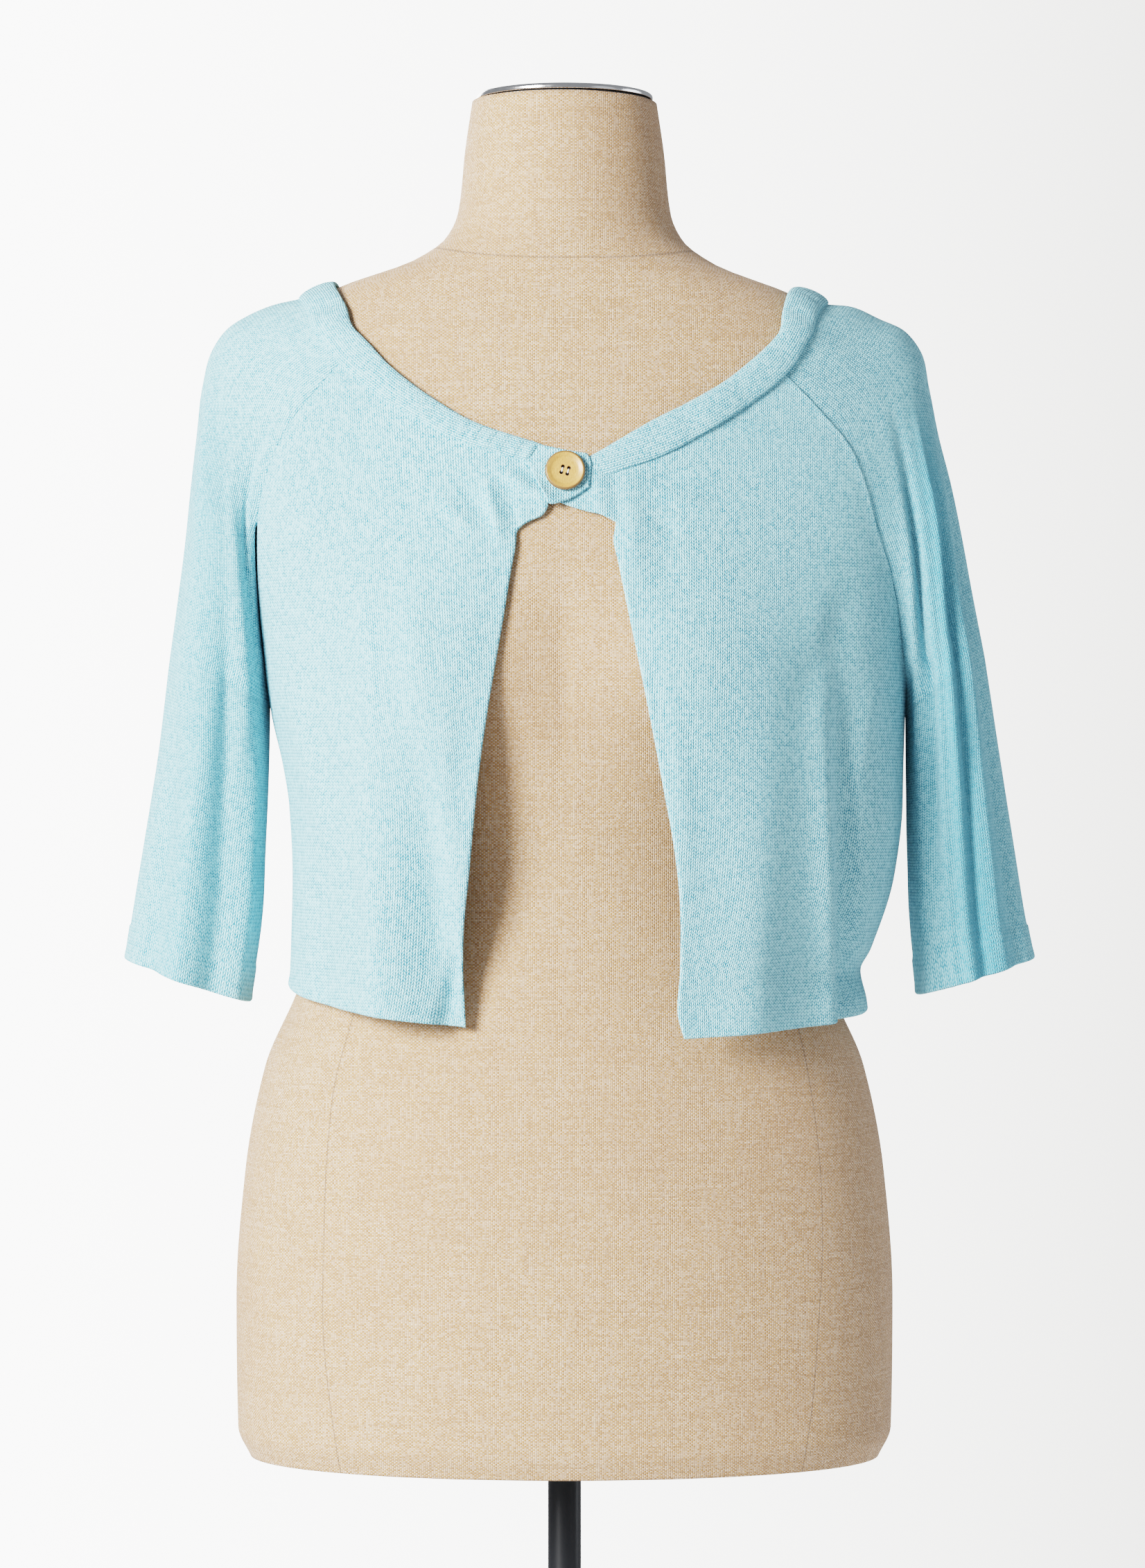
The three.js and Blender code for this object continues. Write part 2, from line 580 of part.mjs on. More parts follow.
function sleeve(side) {
  const outward = side === "right" ? -1 : 1;
  const seams = { front: raglanSeam(side, 1), back: raglanSeam(side, -1) };
  const tube = smoothPath(sleeveTubes[side], (a, b) => a.outerHeight - b.outerHeight);
  const ridge = clothPoint(90 * outward, sleeveTop(side, 0.5).height).point;
  const outer = smoothPath(
    [{ x: ridge.x, y: ridge.y, height: ridge.z }, ...sleeveOuter[side]],
    (a, b) => Math.hypot(b.x - a.x, b.height - a.height),
  );
  const rows = raglanSteps + tubeSteps;
  const half = sleeveColumns / 2;
  const [tubeTop, cuff] = [sleeveTubes[side][0], sleeveTubes[side].at(-1)];
  const tubeStepHeight = (tubeTop.outerHeight - cuff.outerHeight) / tubeSteps;

  // Where a section leaves its seam: along the cloth above, straight forward or back at the underarm
  const seamStart = (seam, at, ahead) => {
    const { turn, height } = seam(at);
    const here = clothPoint(turn, height);
    const next = seam(Math.min(1, at + 0.02));
    const last = seam(Math.max(0, at - 0.02));
    const tangent = clothPoint(next.turn, next.height).point.sub(clothPoint(last.turn, last.height).point);
    const away = tangent.normalize().cross(here.normal);
    if (away.x * outward < 0) away.negate();
    const turned = smoothStep(0.5, 1, at);
    away.lerp(new THREE.Vector3(0, -ahead, 0), turned).normalize();
    return { ...here, away, turned };
  };
  const grid = Array.from({ length: rows + 1 }, (_, i) => {
    const at = Math.min(1, i / raglanSteps);
    const below = Math.max(0, (i - raglanSteps) / tubeSteps);
    const shape = tube(below);
    const outerPoint = at < 1 || below === 0
      ? (({ x, y, height }) => new THREE.Vector3(x, y, height))(outer(at))
      : new THREE.Vector3(shape.outerX, shape.middle + outerBehind, shape.outerHeight);
    const inner = new THREE.Vector3(shape.innerX, shape.middle, shape.innerHeight);
    return Array.from({ length: sleeveColumns + 1 }, (_unused, j) => {
      const ahead = j <= half ? 1 : -1;
      const t = 1 - Math.abs(j - half) / half;
      const bulge = ahead > 0 ? shape.frontBulge : shape.backBulge;
      const tubePull = new THREE.Vector3(0, (-ahead * bulge * 4) / 3, 0);
      if (below > 0) return { point: quarterSection(inner, tubePull, outerPoint, tubePull, t) };
      const start = seamStart(ahead > 0 ? seams.front : seams.back, at, ahead);
      const span = start.point.distanceTo(outerPoint);
      const startPull = start.away.clone().multiplyScalar(mix(span * seamPull, (bulge * 4) / 3, start.turned));
      const endPull = new THREE.Vector3(0, -ahead * Math.abs(start.point.y - outerPoint.y) * outerPull, 0);
      // Lower down both pulls reach far enough to give the section the tube's own depth
      const reach = (8 * bulge - Math.abs(start.point.y)) / 6;
      const full = smoothStep(fullFrom, fullAt, at);
      startPull.y = mix(startPull.y, -ahead * reach - start.point.y, full);
      endPull.y = mix(endPull.y, -ahead * reach - outerPoint.y, full);
      const point = quarterSection(at === 1 ? inner : start.point, startPull, outerPoint, endPull, t);
      return { point, seamNormal: start.normal };
    });
  });
  // The first row is drawn to the band's edge, and the rows after it follow a little less each
  const bandPoints = grid[0].map((_, j) => {
    const { turn, height } = sleeveTop(side, j / sleeveColumns);
    return clothPoint(turn, height);
  });
  const shifts = grid[0].map((cell, j) => bandPoints[j].point.clone().sub(cell.point));
  for (let i = 0; i < raglanSteps; i += 1) {
    const share = Math.max(0, 1 - i / drawnRows) ** 2;
    grid[i].slice(1, -1).forEach((cell, k) => cell.point.addScaledVector(shifts[k + 1], share));
  }
  const plain = gridNormals(grid, outward);
  grid.forEach((row, i) => row.forEach((cell, j) => {
    const down = i / rows;
    const round = j / sleeveColumns;
    const rise = sleeveFolds[side].reduce((sum, fold) => sum
      + fold.rise * smoothStep(fold.start, fold.start + 0.25, down)
      * bell((round - mix(fold.top, fold.cuff, down)) / fold.halfWidth), 0);
    const hemmed = (rows - i) * tubeStepHeight < sleeveHemDepth ? sleeveHemRise : 0;
    const fromSeam = smoothStep(0, 0.08, round) * smoothStep(0, 0.08, 1 - round);
    cell.point.addScaledVector(plain[i][j], rise * fromSeam + hemmed);
  }));
  const normals = gridNormals(grid, outward);
  grid.forEach((row, i) => row.forEach((cell, j) => {
    cell.normal = normals[i][j];
    if (i === 0) cell.normal = bandPoints[j].normal;
    const edge = j === 0 || j === sleeveColumns;
    const onRaglan = edge && i > 0 && i < raglanSteps;
    if (onRaglan && cell.normal.dot(cell.seamNormal) > alike) cell.normal = cell.seamNormal;
  }));
  return wallGeometry(trimmed(trimmed(grid, ["first", "last"]), ["top"], bandGap));
}

// The rolled band: a crowned strip between its two edges, lying on the cloth surface
function neckband() {
  const pieces = [
    [bandAt.tab, bandAt.raglanFrontRight, neckSteps + 1],
    [bandAt.raglanFrontRight, bandAt.ridgeRight, sleeveColumns / 4],
    [bandAt.ridgeRight, bandAt.raglanBackRight, sleeveColumns / 4],
    [bandAt.raglanBackRight, bandAt.raglanBackLeft, backColumns / 2],
    [bandAt.raglanBackLeft, bandAt.ridgeLeft, sleeveColumns / 4],
    [bandAt.ridgeLeft, bandAt.raglanFrontLeft, sleeveColumns / 4],
    [bandAt.raglanFrontLeft, bandAt.button, neckSteps + 1],
  ];
  const stations = [bandPath.knot(bandAt.tab)];
  pieces.forEach(([from, to, steps]) => {
    for (let k = 1; k <= steps; k += 1) stations.push(mix(bandPath.knot(from), bandPath.knot(to), k / steps));
  });
  const grid = stations.map((at) => {
    const { outerTurn, outerHeight, innerTurn, innerHeight } = bandPath(at);
    return Array.from({ length: bandColumns + 1 }, (_, j) => {
      const across = (1 - Math.cos((Math.PI * j) / bandColumns)) / 2;
      const crown = Math.sqrt(1 - (2 * across - 1) ** 2);
      const base = clothPoint(mix(outerTurn, innerTurn, across), mix(outerHeight, innerHeight, across));
      return { base: base.point, normal: base.normal, crown };
    });
  });
  grid.forEach((row) => row.forEach((cell) => {
    cell.point = cell.base.clone().addScaledVector(cell.normal, cell.crown * bandRise);
  }));
  trimmed(grid, ["first"]);
  return wallGeometry(grid, (j) => wall + Math.sin((Math.PI * j) / bandColumns) * bandRise);
}

// A strip between an upper and a lower edge, lying a given height above the cloth surface
function strip(rows, columns, lift) {
  const apart = (a, b) => Math.hypot(b.bottomX - a.bottomX, b.bottomHeight - a.bottomHeight) + 1;
  const path = smoothPath(rows, apart);
  const grid = Array.from({ length: columns + 1 }, (_, i) => {
    const { topX, topHeight, bottomX, bottomHeight } = path(i / columns);
    return Array.from({ length: stripColumns + 1 }, (_unused, j) => {
      const t = j / stripColumns;
      const height = mix(topHeight, bottomHeight, t);
      return clothPoint(turnAt(mix(topX, bottomX, t), height, 1), height, lift);
    });
  });
  return wallGeometry(trimmed(grid, ["top", "bottom", "first"]));
}

// The form: level rings joined into one skin, closed at the neck and under the hips
function formBody() {
  const heights = [
    1437.5, 1409, 1387, 1371, 1360, 1351, 1342, 1333, 1325, 1316, 1307, 1298, 1290, 1277, 1262, 1234, 1205,
    1172, 1133, 1095, 1060, 1020, 985, 950, 915, 880, 845, 805, 760, 700, 637, 627, 620,
  ];
  const positions = [];
  heights.forEach((height) => {
    for (let k = 0; k < formSides; k += 1) positions.push(...formPoint((360 * k) / formSides, height));
  });
  const top = positions.length / 3;
  positions.push(0, 0, neckTop);
  positions.push(0, 0, formBottom);
  const index = [];
  heights.slice(1).forEach((_, i) => {
    for (let k = 0; k < formSides; k += 1) {
      const next = (k + 1) % formSides;
      const [a, b] = [i * formSides, (i + 1) * formSides];
      index.push(a + k, b + k, b + next, a + k, b + next, a + next);
    }
  });
  const lastRing = (heights.length - 1) * formSides;
  for (let k = 0; k < formSides; k += 1) {
    const next = (k + 1) % formSides;
    index.push(top, k, next, top + 1, lastRing + next, lastRing + k);
  }
  return facingOut(positions, index);
}

// A solid turned about the upright axis, from points of its half outline that start and end on the axis
function turned(points, segments = 40) {
  const profile = points.map(([radius, height]) => new THREE.Vector2(radius, height));
  return new THREE.LatheGeometry(profile, segments).rotateX(Math.PI / 2);
}

const wasm = await Module();
wasm.setup();

function asSolid(geometry) {
  const bare = geometry.clone();
  bare.deleteAttribute("normal");
  bare.deleteAttribute("uv");
  const merged = mergeVertices(bare, 1e-4);
  return new wasm.Manifold(new wasm.Mesh({
    numProp: 3,
    vertProperties: merged.attributes.position.array,
    triVerts: new Uint32Array(merged.index.array),
  }));
}

// The button: a dished disc with a raised rim and four holes, its face along +Z
function buttonBody() {
  const rim = buttonRadius;
  const dished = turned([
    [0, 0], [rim - 1.6, 0], [rim - 0.4, 0.6], [rim, 1.6], [rim - 0.3, buttonHeight - 0.5],
    [rim - 1.1, buttonHeight], [rim - 2, buttonHeight - 0.2], [rim - 4, buttonHeight - 1.1],
    [0, buttonHeight - 1.3],
  ], 28);
  let solid = asSolid(dished);
  [-1, 1].forEach((across) => [-1, 1].forEach((up) => {
    const hole = new THREE.CylinderGeometry(buttonHoleRadius, buttonHoleRadius, buttonHeight * 3, 12)
      .rotateX(Math.PI / 2)
      .translate(across * buttonHoleOffset, up * buttonHoleOffset, 0);
    solid = solid.subtract(asSolid(hole));
  }));
  const mesh = solid.getMesh();
  return new THREE.BufferGeometry()
    .setAttribute("position", new THREE.Float32BufferAttribute(mesh.vertProperties, 3))
    .setIndex([...mesh.triVerts]);
}

const object = new THREE.Group();

function add(name, geometry, material) {
  const mesh = new THREE.Mesh(geometry, material);
  mesh.name = name;
  object.add(mesh);
  return mesh;
}

add("torso", formBody(), linen);
const gasketBottom = neckTop + seamGap;
const capBottom = gasketBottom + gasketHeight + seamGap;
add("neck_gasket", turned([
  [0, gasketBottom], [capRadius - 1, gasketBottom], [capRadius - 1, gasketBottom + gasketHeight],
  [0, gasketBottom + gasketHeight],
]), blackRubber);
add("neck_cap", turned([
  [0, capBottom], [capRadius - 0.4, capBottom], [capRadius, capBottom + 0.4],
  [capRadius, capBottom + capHeight - 1.2], [capRadius - 0.5, capBottom + capHeight - 0.4],
  [capRadius - 1.6, capBottom + capHeight], [0, capBottom + capHeight],
]), polishedMetal);
const socketBottom = formBottom - seamGap - socketHeight;
add("pole_socket", turned([
  [0, socketBottom], [socketRadius * 0.6, socketBottom], [socketRadius, socketBottom + 5],
  [socketRadius, socketBottom + socketHeight], [0, socketBottom + socketHeight],
], 32), blackEnamel);
const poleBottom = plateHeight + seamGap;
const poleTop = socketBottom - seamGap;
add("pole", new THREE.CylinderGeometry(poleRadius, poleRadius, poleTop - poleBottom, 28)
  .rotateX(Math.PI / 2)
  .translate(0, 0, (poleTop + poleBottom) / 2), blackEnamel);
add("base_plate", turned([
  [0, 0], [plateRadius - 1, 0], [plateRadius, 1], [plateRadius, plateHeight - 3],
  [plateRadius - 3, plateHeight], [0, plateHeight],
], 56), blackEnamel);

add("front_right", frontPanel("right"), knitPale);
add("front_left", frontPanel("left"), knitPale);
add("back", backPanel(), knitPale);
add("sleeve_right", sleeve("right"), knitPale);
add("sleeve_left", sleeve("left"), knitPale);
add("neckband", neckband(), knitPale);
add("tab", strip(tabRows, tabSteps, tabLift), knitPale);
add("underlap", strip(underlapRows, underlapSteps, 0), knitPale);

const buttonTurnAt = turnAt(buttonPlace.x, buttonPlace.height, 1);
const seat = clothPoint(buttonTurnAt, buttonPlace.height, tabLift + seamGap + buttonClearance);
const button = add("button", buttonBody(), buttonFinish);
button.position.copy(seat.point);
button.quaternion.setFromUnitVectors(new THREE.Vector3(0, 0, 1), seat.normal);
button.rotateZ(THREE.MathUtils.degToRad(buttonTurn));

export default object;
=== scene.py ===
"""A cropped knitted shrug with raglan sleeves and one button, on a linen-covered dress form.

Lengths are in millimetres until a mesh is made. +Z is up and the front of the form faces -Y. The cloth and the
form are surfaces over turn and height: turn is in degrees round the form, 0 at the centre front and +90 at the
wearer's left side.
"""

import math

import bmesh
import bpy
import numpy as np
from mathutils import Matrix, Vector


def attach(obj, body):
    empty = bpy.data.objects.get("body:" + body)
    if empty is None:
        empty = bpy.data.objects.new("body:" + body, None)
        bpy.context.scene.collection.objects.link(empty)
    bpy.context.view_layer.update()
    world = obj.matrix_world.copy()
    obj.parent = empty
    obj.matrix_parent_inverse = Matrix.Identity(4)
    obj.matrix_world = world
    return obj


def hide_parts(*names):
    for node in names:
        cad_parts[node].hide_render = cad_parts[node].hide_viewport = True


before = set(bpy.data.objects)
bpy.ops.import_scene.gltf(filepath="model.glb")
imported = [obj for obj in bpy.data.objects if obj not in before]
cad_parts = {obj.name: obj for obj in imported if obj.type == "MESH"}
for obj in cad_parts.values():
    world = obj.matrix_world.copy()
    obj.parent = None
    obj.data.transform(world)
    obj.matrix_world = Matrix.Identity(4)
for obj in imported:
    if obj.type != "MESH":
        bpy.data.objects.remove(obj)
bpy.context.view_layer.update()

# Driving dimensions, as in the solids
MM = 0.001
WALL = 1.9
FORM_BOTTOM = 620
NECK_TOP = 1437.5
SHOULDER_DROP = 4
FULLNESS = 0.9
SEAM_GAP = 0.3
GASKET_HEIGHT = 0.9
CAP_RADIUS = 53.5
CAP_HEIGHT = 3.6
POLE_RADIUS = 10
SOCKET_RADIUS = 32
SOCKET_HEIGHT = 12
PLATE_RADIUS = 165
PLATE_HEIGHT = 8
BUTTON_RADIUS = 11.8
BUTTON_HEIGHT = 3.4
BUTTON_HOLE_RADIUS = 1.05
BUTTON_HOLE_OFFSET = 1.8
BUTTON_TURN = -15
BUTTON_X = 0.6
BUTTON_Z = 1206.4
BAND_RISE = 3.2
TAB_LIFT = 2.6
HEM_Z = 880
SLEEVE_HEM_DEPTH = 21
SLEEVE_HEM_RISE = 0.7
BUST = {"x": 85, "height": 1095, "rise": 22, "spread": 62, "above": 58, "below": 55, "cloth_below": 170}

# How many rows and columns of the solids the tables below speak of
NECK_ROWS = 7
RAGLAN_ROWS = 14
SIDE_ROWS = 12
TUBE_ROWS = 11

# The knit and the linen
WALE = 2.82
COURSE = 1.9
UPRIGHT_THREAD = 1.22
LEVEL_THREAD = 0.92


def table(names, rows):
    """Rows of numbers as named columns, each one an array."""
    return dict(zip(names.split(), np.array(rows, float).T))


# Level sections of the form and of the hanging cloth
FORM_RINGS = table("height width front back", [
    [1437.5, 56, 56, 56],
    [1409, 60.2, 58, 58],
    [1371, 64.5, 61, 62],
    [1355, 72, 64, 66],
    [1341, 92, 68, 72],
    [1325, 137, 73, 79],
    [1307, 173, 80, 86],
    [1290, 196.5, 87, 92],
    [1262, 202.5, 95, 98],
    [1205, 192, 108, 103],
    [1150, 177, 116, 103],
    [1095, 165, 120, 99],
    [1035, 152, 113, 91],
    [970, 142, 103, 86],
    [902, 161, 109, 98],
    [855, 181, 117, 112],
    [790, 193.3, 124, 124],
    [716, 198.5, 126, 128],
    [637, 197.4, 123, 123],
    [620, 190, 116, 116],
])
CLOTH_RINGS = table("height right left front back", [
    [1342, 101, 101, 71.5, 76],
    [1328, 139, 139, 75.5, 82],
    [1310, 176, 176, 83, 89],
    [1293, 200, 200, 90, 95],
    [1264, 206, 207.5, 98.5, 101.5],
    [1205, 199, 209, 111.5, 106.5],
    [1150, 190, 208, 120, 107.5],
    [1095, 181.5, 207, 124.5, 108],
    [1066, 177, 206, 126.5, 108],
    [1035, 170, 205, 129, 108],
    [1012, 166.5, 204.5, 131, 108.5],
    [970, 164.5, 199.5, 134.5, 110],
    [926, 165.5, 185.5, 137, 114],
    [912, 166, 179.5, 138, 116],
    [894, 168.5, 183, 139, 118],
    [870, 175, 183.5, 140, 121],
])

# Hanging folds: where each one's middle lies across at its top and at the hem, where it starts, its
# half-width, and how far it stands out. A trough is negative; side 1 is the front and -1 the back.
HANGING_FOLDS = table("side xTop xHem start halfWidth rise", [
    [1, -94, -72, 1120, 14, -17],
    [1, -122, -106, 1110, 13, 7],
    [1, -140, -144, 1010, 9, -4],
    [1, -60, -62, 965, 9, -5],
    [1, -48, -50, 1100, 14, -9],
    [1, -74, -80, 960, 7, 3.5],
    [1, 120, 106, 1150, 18, 6.5],
    [1, 147, 157, 1170, 8, 6],
    [1, 163, 167, 1170, 8, -9],
    [-1, -70, -78, 1120, 16, -6],
    [-1, -20, -26, 1080, 14, 5],
    [-1, 46, 50, 1100, 13, -6],
    [-1, 104, 112, 1130, 16, 5],
    [-1, -122, -130, 1100, 13, 4],
])

# Soft creases that the pull of the button, the seams and the hang of the cloth leave in the fronts and back:
# the line that each follows, its half-width and its rise
SOFT_CREASES = table("side xFrom zFrom xTo zTo halfWidth rise", [
    [1, 4, 1183, -44, 1210, 4.5, 4.2],
    [1, -23, 1158, -38, 1212, 2.6, -1.6],
    [1, -34, 1156, -48, 1212, 3.6, 3.4],
    [1, -42, 1172, -66, 1210, 3, -1.3],
    [1, -48, 1166, -80, 1200, 4.5, 2.2],
    [1, 37, 1226, 42, 1116, 8, 2.6],
    [1, 58, 1214, 60, 1120, 8, -0.9],
    [1, 44, 1203, 78, 1206, 3, -1.6],
    [1, 48, 1193, 92, 1186, 4, 2.2],
    [1, 46, 1182, 70, 1170, 4, -1.3],
    [1, -64, 935, -82, 860, 3.5, -3.5],
    [1, -150, 1120, -96, 1008, 10, -1.6],
    [1, -166, 1105, -132, 960, 8, 3.4],
    [1, -116, 1190, -112, 980, 8, 2.4],
    [1, -90, 1170, -84, 1010, 9, 2],
    [1, -58, 1100, -66, 960, 8, -2.0],
    [1, -128, 1010, -112, 900, 6, -2.4],
    [1, 176, 1150, 128, 1050, 9, -1.8],
    [1, 190, 1110, 166, 1000, 7, 2.0],
    [1, 62, 1090, 74, 920, 7, 2.0],
    [-1, -160, 1150, -112, 1040, 10, -2.0],
    [-1, 176, 1150, 130, 1030, 11, -2.2],
    [-1, -92, 1100, -98, 920, 8, 1.8],
    [-1, 20, 1120, 12, 930, 9, -1.8],
    [-1, 76, 1090, 82, 910, 8, 1.9],
    [-1, -44, 1050, -50, 900, 7, -1.4],
    [-1, -60, 1262, -30, 1246, 8, -0.9],
    [-1, 64, 1262, 30, 1244, 8, -0.9],
])

# The neckband's edges, from the tab round the back to the button; face 0 is the shoulder ridge
BAND_ROWS = table("face outerX outerHeight innerX innerHeight", [
    [1, -22, 1212.5, -14, 1223.5],
    [1, -61, 1225, -54, 1237.5],
    [1, -86, 1238, -77.7, 1251.7],
    [1, -112.6, 1255.7, -101.6, 1270.4],
    [1, -133, 1273.4, -117, 1287],
    [1, -147, 1293, -128, 1304],
    [0, -159, 1318.4, -138, 1328.5],
    [-1, -147, 1304, -129, 1314.5],
    [-1, -124, 1288, -112, 1302.5],
    [-1, -84, 1276, -76, 1292.5],
    [-1, -42, 1269.5, -38, 1286.5],
    [-1, 0, 1267.5, 0, 1285],
    [-1, 42, 1269.5, 38, 1286.5],
    [-1, 84, 1276, 76, 1292.5],
    [-1, 124, 1288, 112, 1302.5],
    [-1, 147, 1304, 129, 1314.5],
    [0, 157, 1319, 138, 1328.5],
    [1, 145, 1294, 129, 1305],
    [1, 130, 1270, 113.6, 1281],
    [1, 106, 1249.5, 93, 1263],
    [1, 82, 1233, 72, 1249.5],
    [1, 58.4, 1218.6, 51, 1238],
    [1, 28, 1206, 19, 1218.5],
    [1, 15, 1201.5, 10, 1213.5],
])
BAND_AT = {"tab": 0, "front_right": 4, "ridge_right": 6, "back_right": 8,
           "back_left": 14, "ridge_left": 16, "front_left": 18, "button": 22}

# The raglan seams from the band to the underarm, the side seams' ends, and the free front edges
RAGLANS = {
    ("right", 1): table("x height", [
        [-133, 1273.4], [-148, 1257], [-163, 1239], [-176, 1214], [-182.5, 1192],
        [-184.5, 1160], [-183.5, 1128], [-180.5, 1095], [-177.8, 1071],
    ]),
    ("right", -1): table("x height", [
        [-124, 1288], [-143, 1264], [-161, 1236], [-174, 1206], [-181, 1172],
        [-182.5, 1140], [-182, 1112], [-180.5, 1090], [-177.8, 1071],
    ]),
    ("left", 1): table("x height", [
        [130, 1270], [143, 1257], [156, 1242.5], [168, 1228], [178.5, 1204],
        [186, 1176], [195, 1148], [202, 1108], [206, 1068],
    ]),
    ("left", -1): table("x height", [
        [124, 1288], [144, 1264], [164, 1236], [181, 1206], [193, 1174],
        [200, 1142], [203.5, 1112], [205.5, 1088], [206, 1068],
    ]),
}
UNDERARM = {"right": 1071, "left": 1068}
SIDE_HEM = {"right": 905, "left": 889}
FRONT_EDGES = {
    "right": table("x height", [
        [-22, 1212.5], [-15.5, 1203], [-11.5, 1195], [-9.1, 1187.3], [-12.3, 1181.6],
        [-20, 1178], [-27, 1172.7], [-28, 1164], [-30.5, 1150], [-34.5, 1124], [-44.6, 1063],
        [-49, 1032], [-52.5, 1002], [-56, 970], [-60.5, 937], [-62.5, 915], [-62, 883.5],
    ]),
    "left": table("x height", [
        [28, 1206], [30, 1190], [29.8, 1176], [28.6, 1166.6], [30.8, 1156],
        [36.7, 1126], [48.5, 1067.5], [56.8, 1024], [63, 990], [66.8, 955],
        [67, 916], [66, 890], [69.5, 877.6],
    ]),
}

# The sleeves: the outer line over the shoulder and down the arm, and the tube's sections below the underarm
SLEEVE_OUTER = {
    "right": table("x y height", [
        [-176, 0, 1315], [-192, 1, 1308.5], [-204, 2, 1301], [-213.5, 3, 1288], [-219.5, 4, 1266],
        [-223, 5, 1236], [-226.5, 6, 1205], [-230, 7, 1172], [-234.5, 8, 1138], [-240, 9, 1098],
    ]),
    "left": table("x y height", [
        [173, 0, 1314], [191, 1, 1306.5], [206, 2, 1299.5], [216, 3, 1287], [221, 4, 1265],
        [227, 5, 1235], [234, 6, 1208], [241, 7, 1175], [247, 8, 1143], [255, 9, 1102],
    ]),
}
SLEEVE_TUBES = {
    "right": table("outerX outerHeight innerX innerHeight middle frontBulge backBulge", [
        [-240, 1098, -178.6, 1071, 2, 47, 50],
        [-247, 1042, -179.5, 1030, 3, 46, 50],
        [-255, 993, -181.5, 985, 4, 45, 51],
        [-262, 951, -184, 940, 5, 44, 52],
        [-267, 919, -191, 893, 6, 43, 52],
    ]),
    "left": table("outerX outerHeight innerX innerHeight middle frontBulge backBulge", [
        [255, 1102, 206.8, 1068, 2, 44, 50],
        [265, 1040, 207.5, 1026, 6, 42, 52],
        [274, 985, 208.5, 980, 9, 41, 54],
        [281, 943, 210.5, 936, 11, 40, 55],
        [286, 919, 214.5, 897, 12, 39, 55],
    ]),
}

# Folds along the sleeves: where each lies round the tube (0 inner edge, 0.5 outer edge, 1 inner edge again) at
# its top and at the cuff, where it starts and ends down the sleeve (0 band, 1 cuff), half-width, and rise
SLEEVE_FOLDS = {
    "right": table("top cuff start end halfWidth rise", [
        [0.055, 0.08, 0.04, 0.55, 0.016, -2.8],
        [0.13, 0.16, 0.1, 0.8, 0.035, 2.5],
        [0.33, 0.36, 0.05, 0.85, 0.045, 2],
        [0.24, 0.17, 0.35, 2, 0.04, -5.5],
        [0.3, 0.26, 0.45, 2, 0.04, 4.5],
        [0.72, 0.7, 0.5, 2, 0.06, -6],
        [0.1, 0.1, 0.5, 2, 0.03, 3],
        [0.4, 0.35, 0.55, 2, 0.035, -4.5],
        [0.24, 0.3, 0.42, 0.8, 0.025, -1.6],
        [0.6, 0.62, 0.45, 2, 0.04, 2],
        [0.84, 0.82, 0.42, 2, 0.04, 2.2],
    ]),
    "left": table("top cuff start end halfWidth rise", [
        [0.13, 0.08, 0.22, 0.75, 0.028, 2],
        [0.18, 0.13, 0.12, 0.95, 0.024, -7],
        [0.235, 0.18, 0.34, 2, 0.016, 1.6],
        [0.275, 0.225, 0.14, 2, 0.02, 3.2],
        [0.32, 0.265, 0.24, 2, 0.02, -4],
        [0.36, 0.32, 0.3, 1.1, 0.016, 1.8],
        [0.41, 0.375, 0.2, 2, 0.035, -5],
        [0.74, 0.76, 0.5, 2, 0.06, -6],
        [0.14, 0.1, 0.45, 2, 0.03, 2.2],
        [0.2, 0.27, 0.48, 0.85, 0.02, 1.6],
        [0.4, 0.36, 0.4, 2, 0.025, 1.6],
        [0.6, 0.58, 0.5, 2, 0.04, 2.4],
        [0.88, 0.86, 0.45, 2, 0.035, 2],
    ]),
}

# The tab and the underlap behind it: their upper and lower edges
TAB_ROWS = table("topX topHeight bottomX bottomHeight lift", [
    [-19, 1225.6, -28, 1214.8, 0.5],
    [-13.4, 1222.8, -21.5, 1210.5, 1.5],
    [-9, 1221.6, -16.5, 1201.5, 2.1],
    [-4, 1220.4, -12.5, 1194, 2.4],
    [2, 1219.2, -8.6, 1187.2, 2.6],
    [9, 1218, 0, 1189, 2.6],
    [14, 1216.4, 8.6, 1193.4, 2.6],
    [16, 1211, 14.6, 1197.4, 2.6],
])
UNDERLAP_ROWS = table("topX topHeight bottomX bottomHeight lift", [
    [-3, 1211, -2.4, 1188.6, -0.3],
    [8, 1213, 10, 1184.6, -0.2],
    [13, 1214, 16, 1182.9, 0.5],
    [17, 1215, 20, 1181.8, 1.7],
    [21, 1214.5, 25, 1179.6, 1.6],
    [25.5, 1213.5, 30, 1177, 0.5],
    [31, 1212, 35, 1174.5, -0.6],
])


def bell(value):
    """A soft hump, 1 at zero: e to the minus value squared."""
    return np.exp(-np.square(value))


def smooth(start, end, value):
    """0 before start and 1 after end, with level ends: three t squared minus two t cubed."""
    t = np.clip((value - start) / (end - start), 0, 1)
    return t * t * (3 - 2 * t)


def mix(a, b, t):
    return a + (b - a) * t


def unit(vectors):
    return vectors / np.linalg.norm(vectors, axis=-1, keepdims=True)


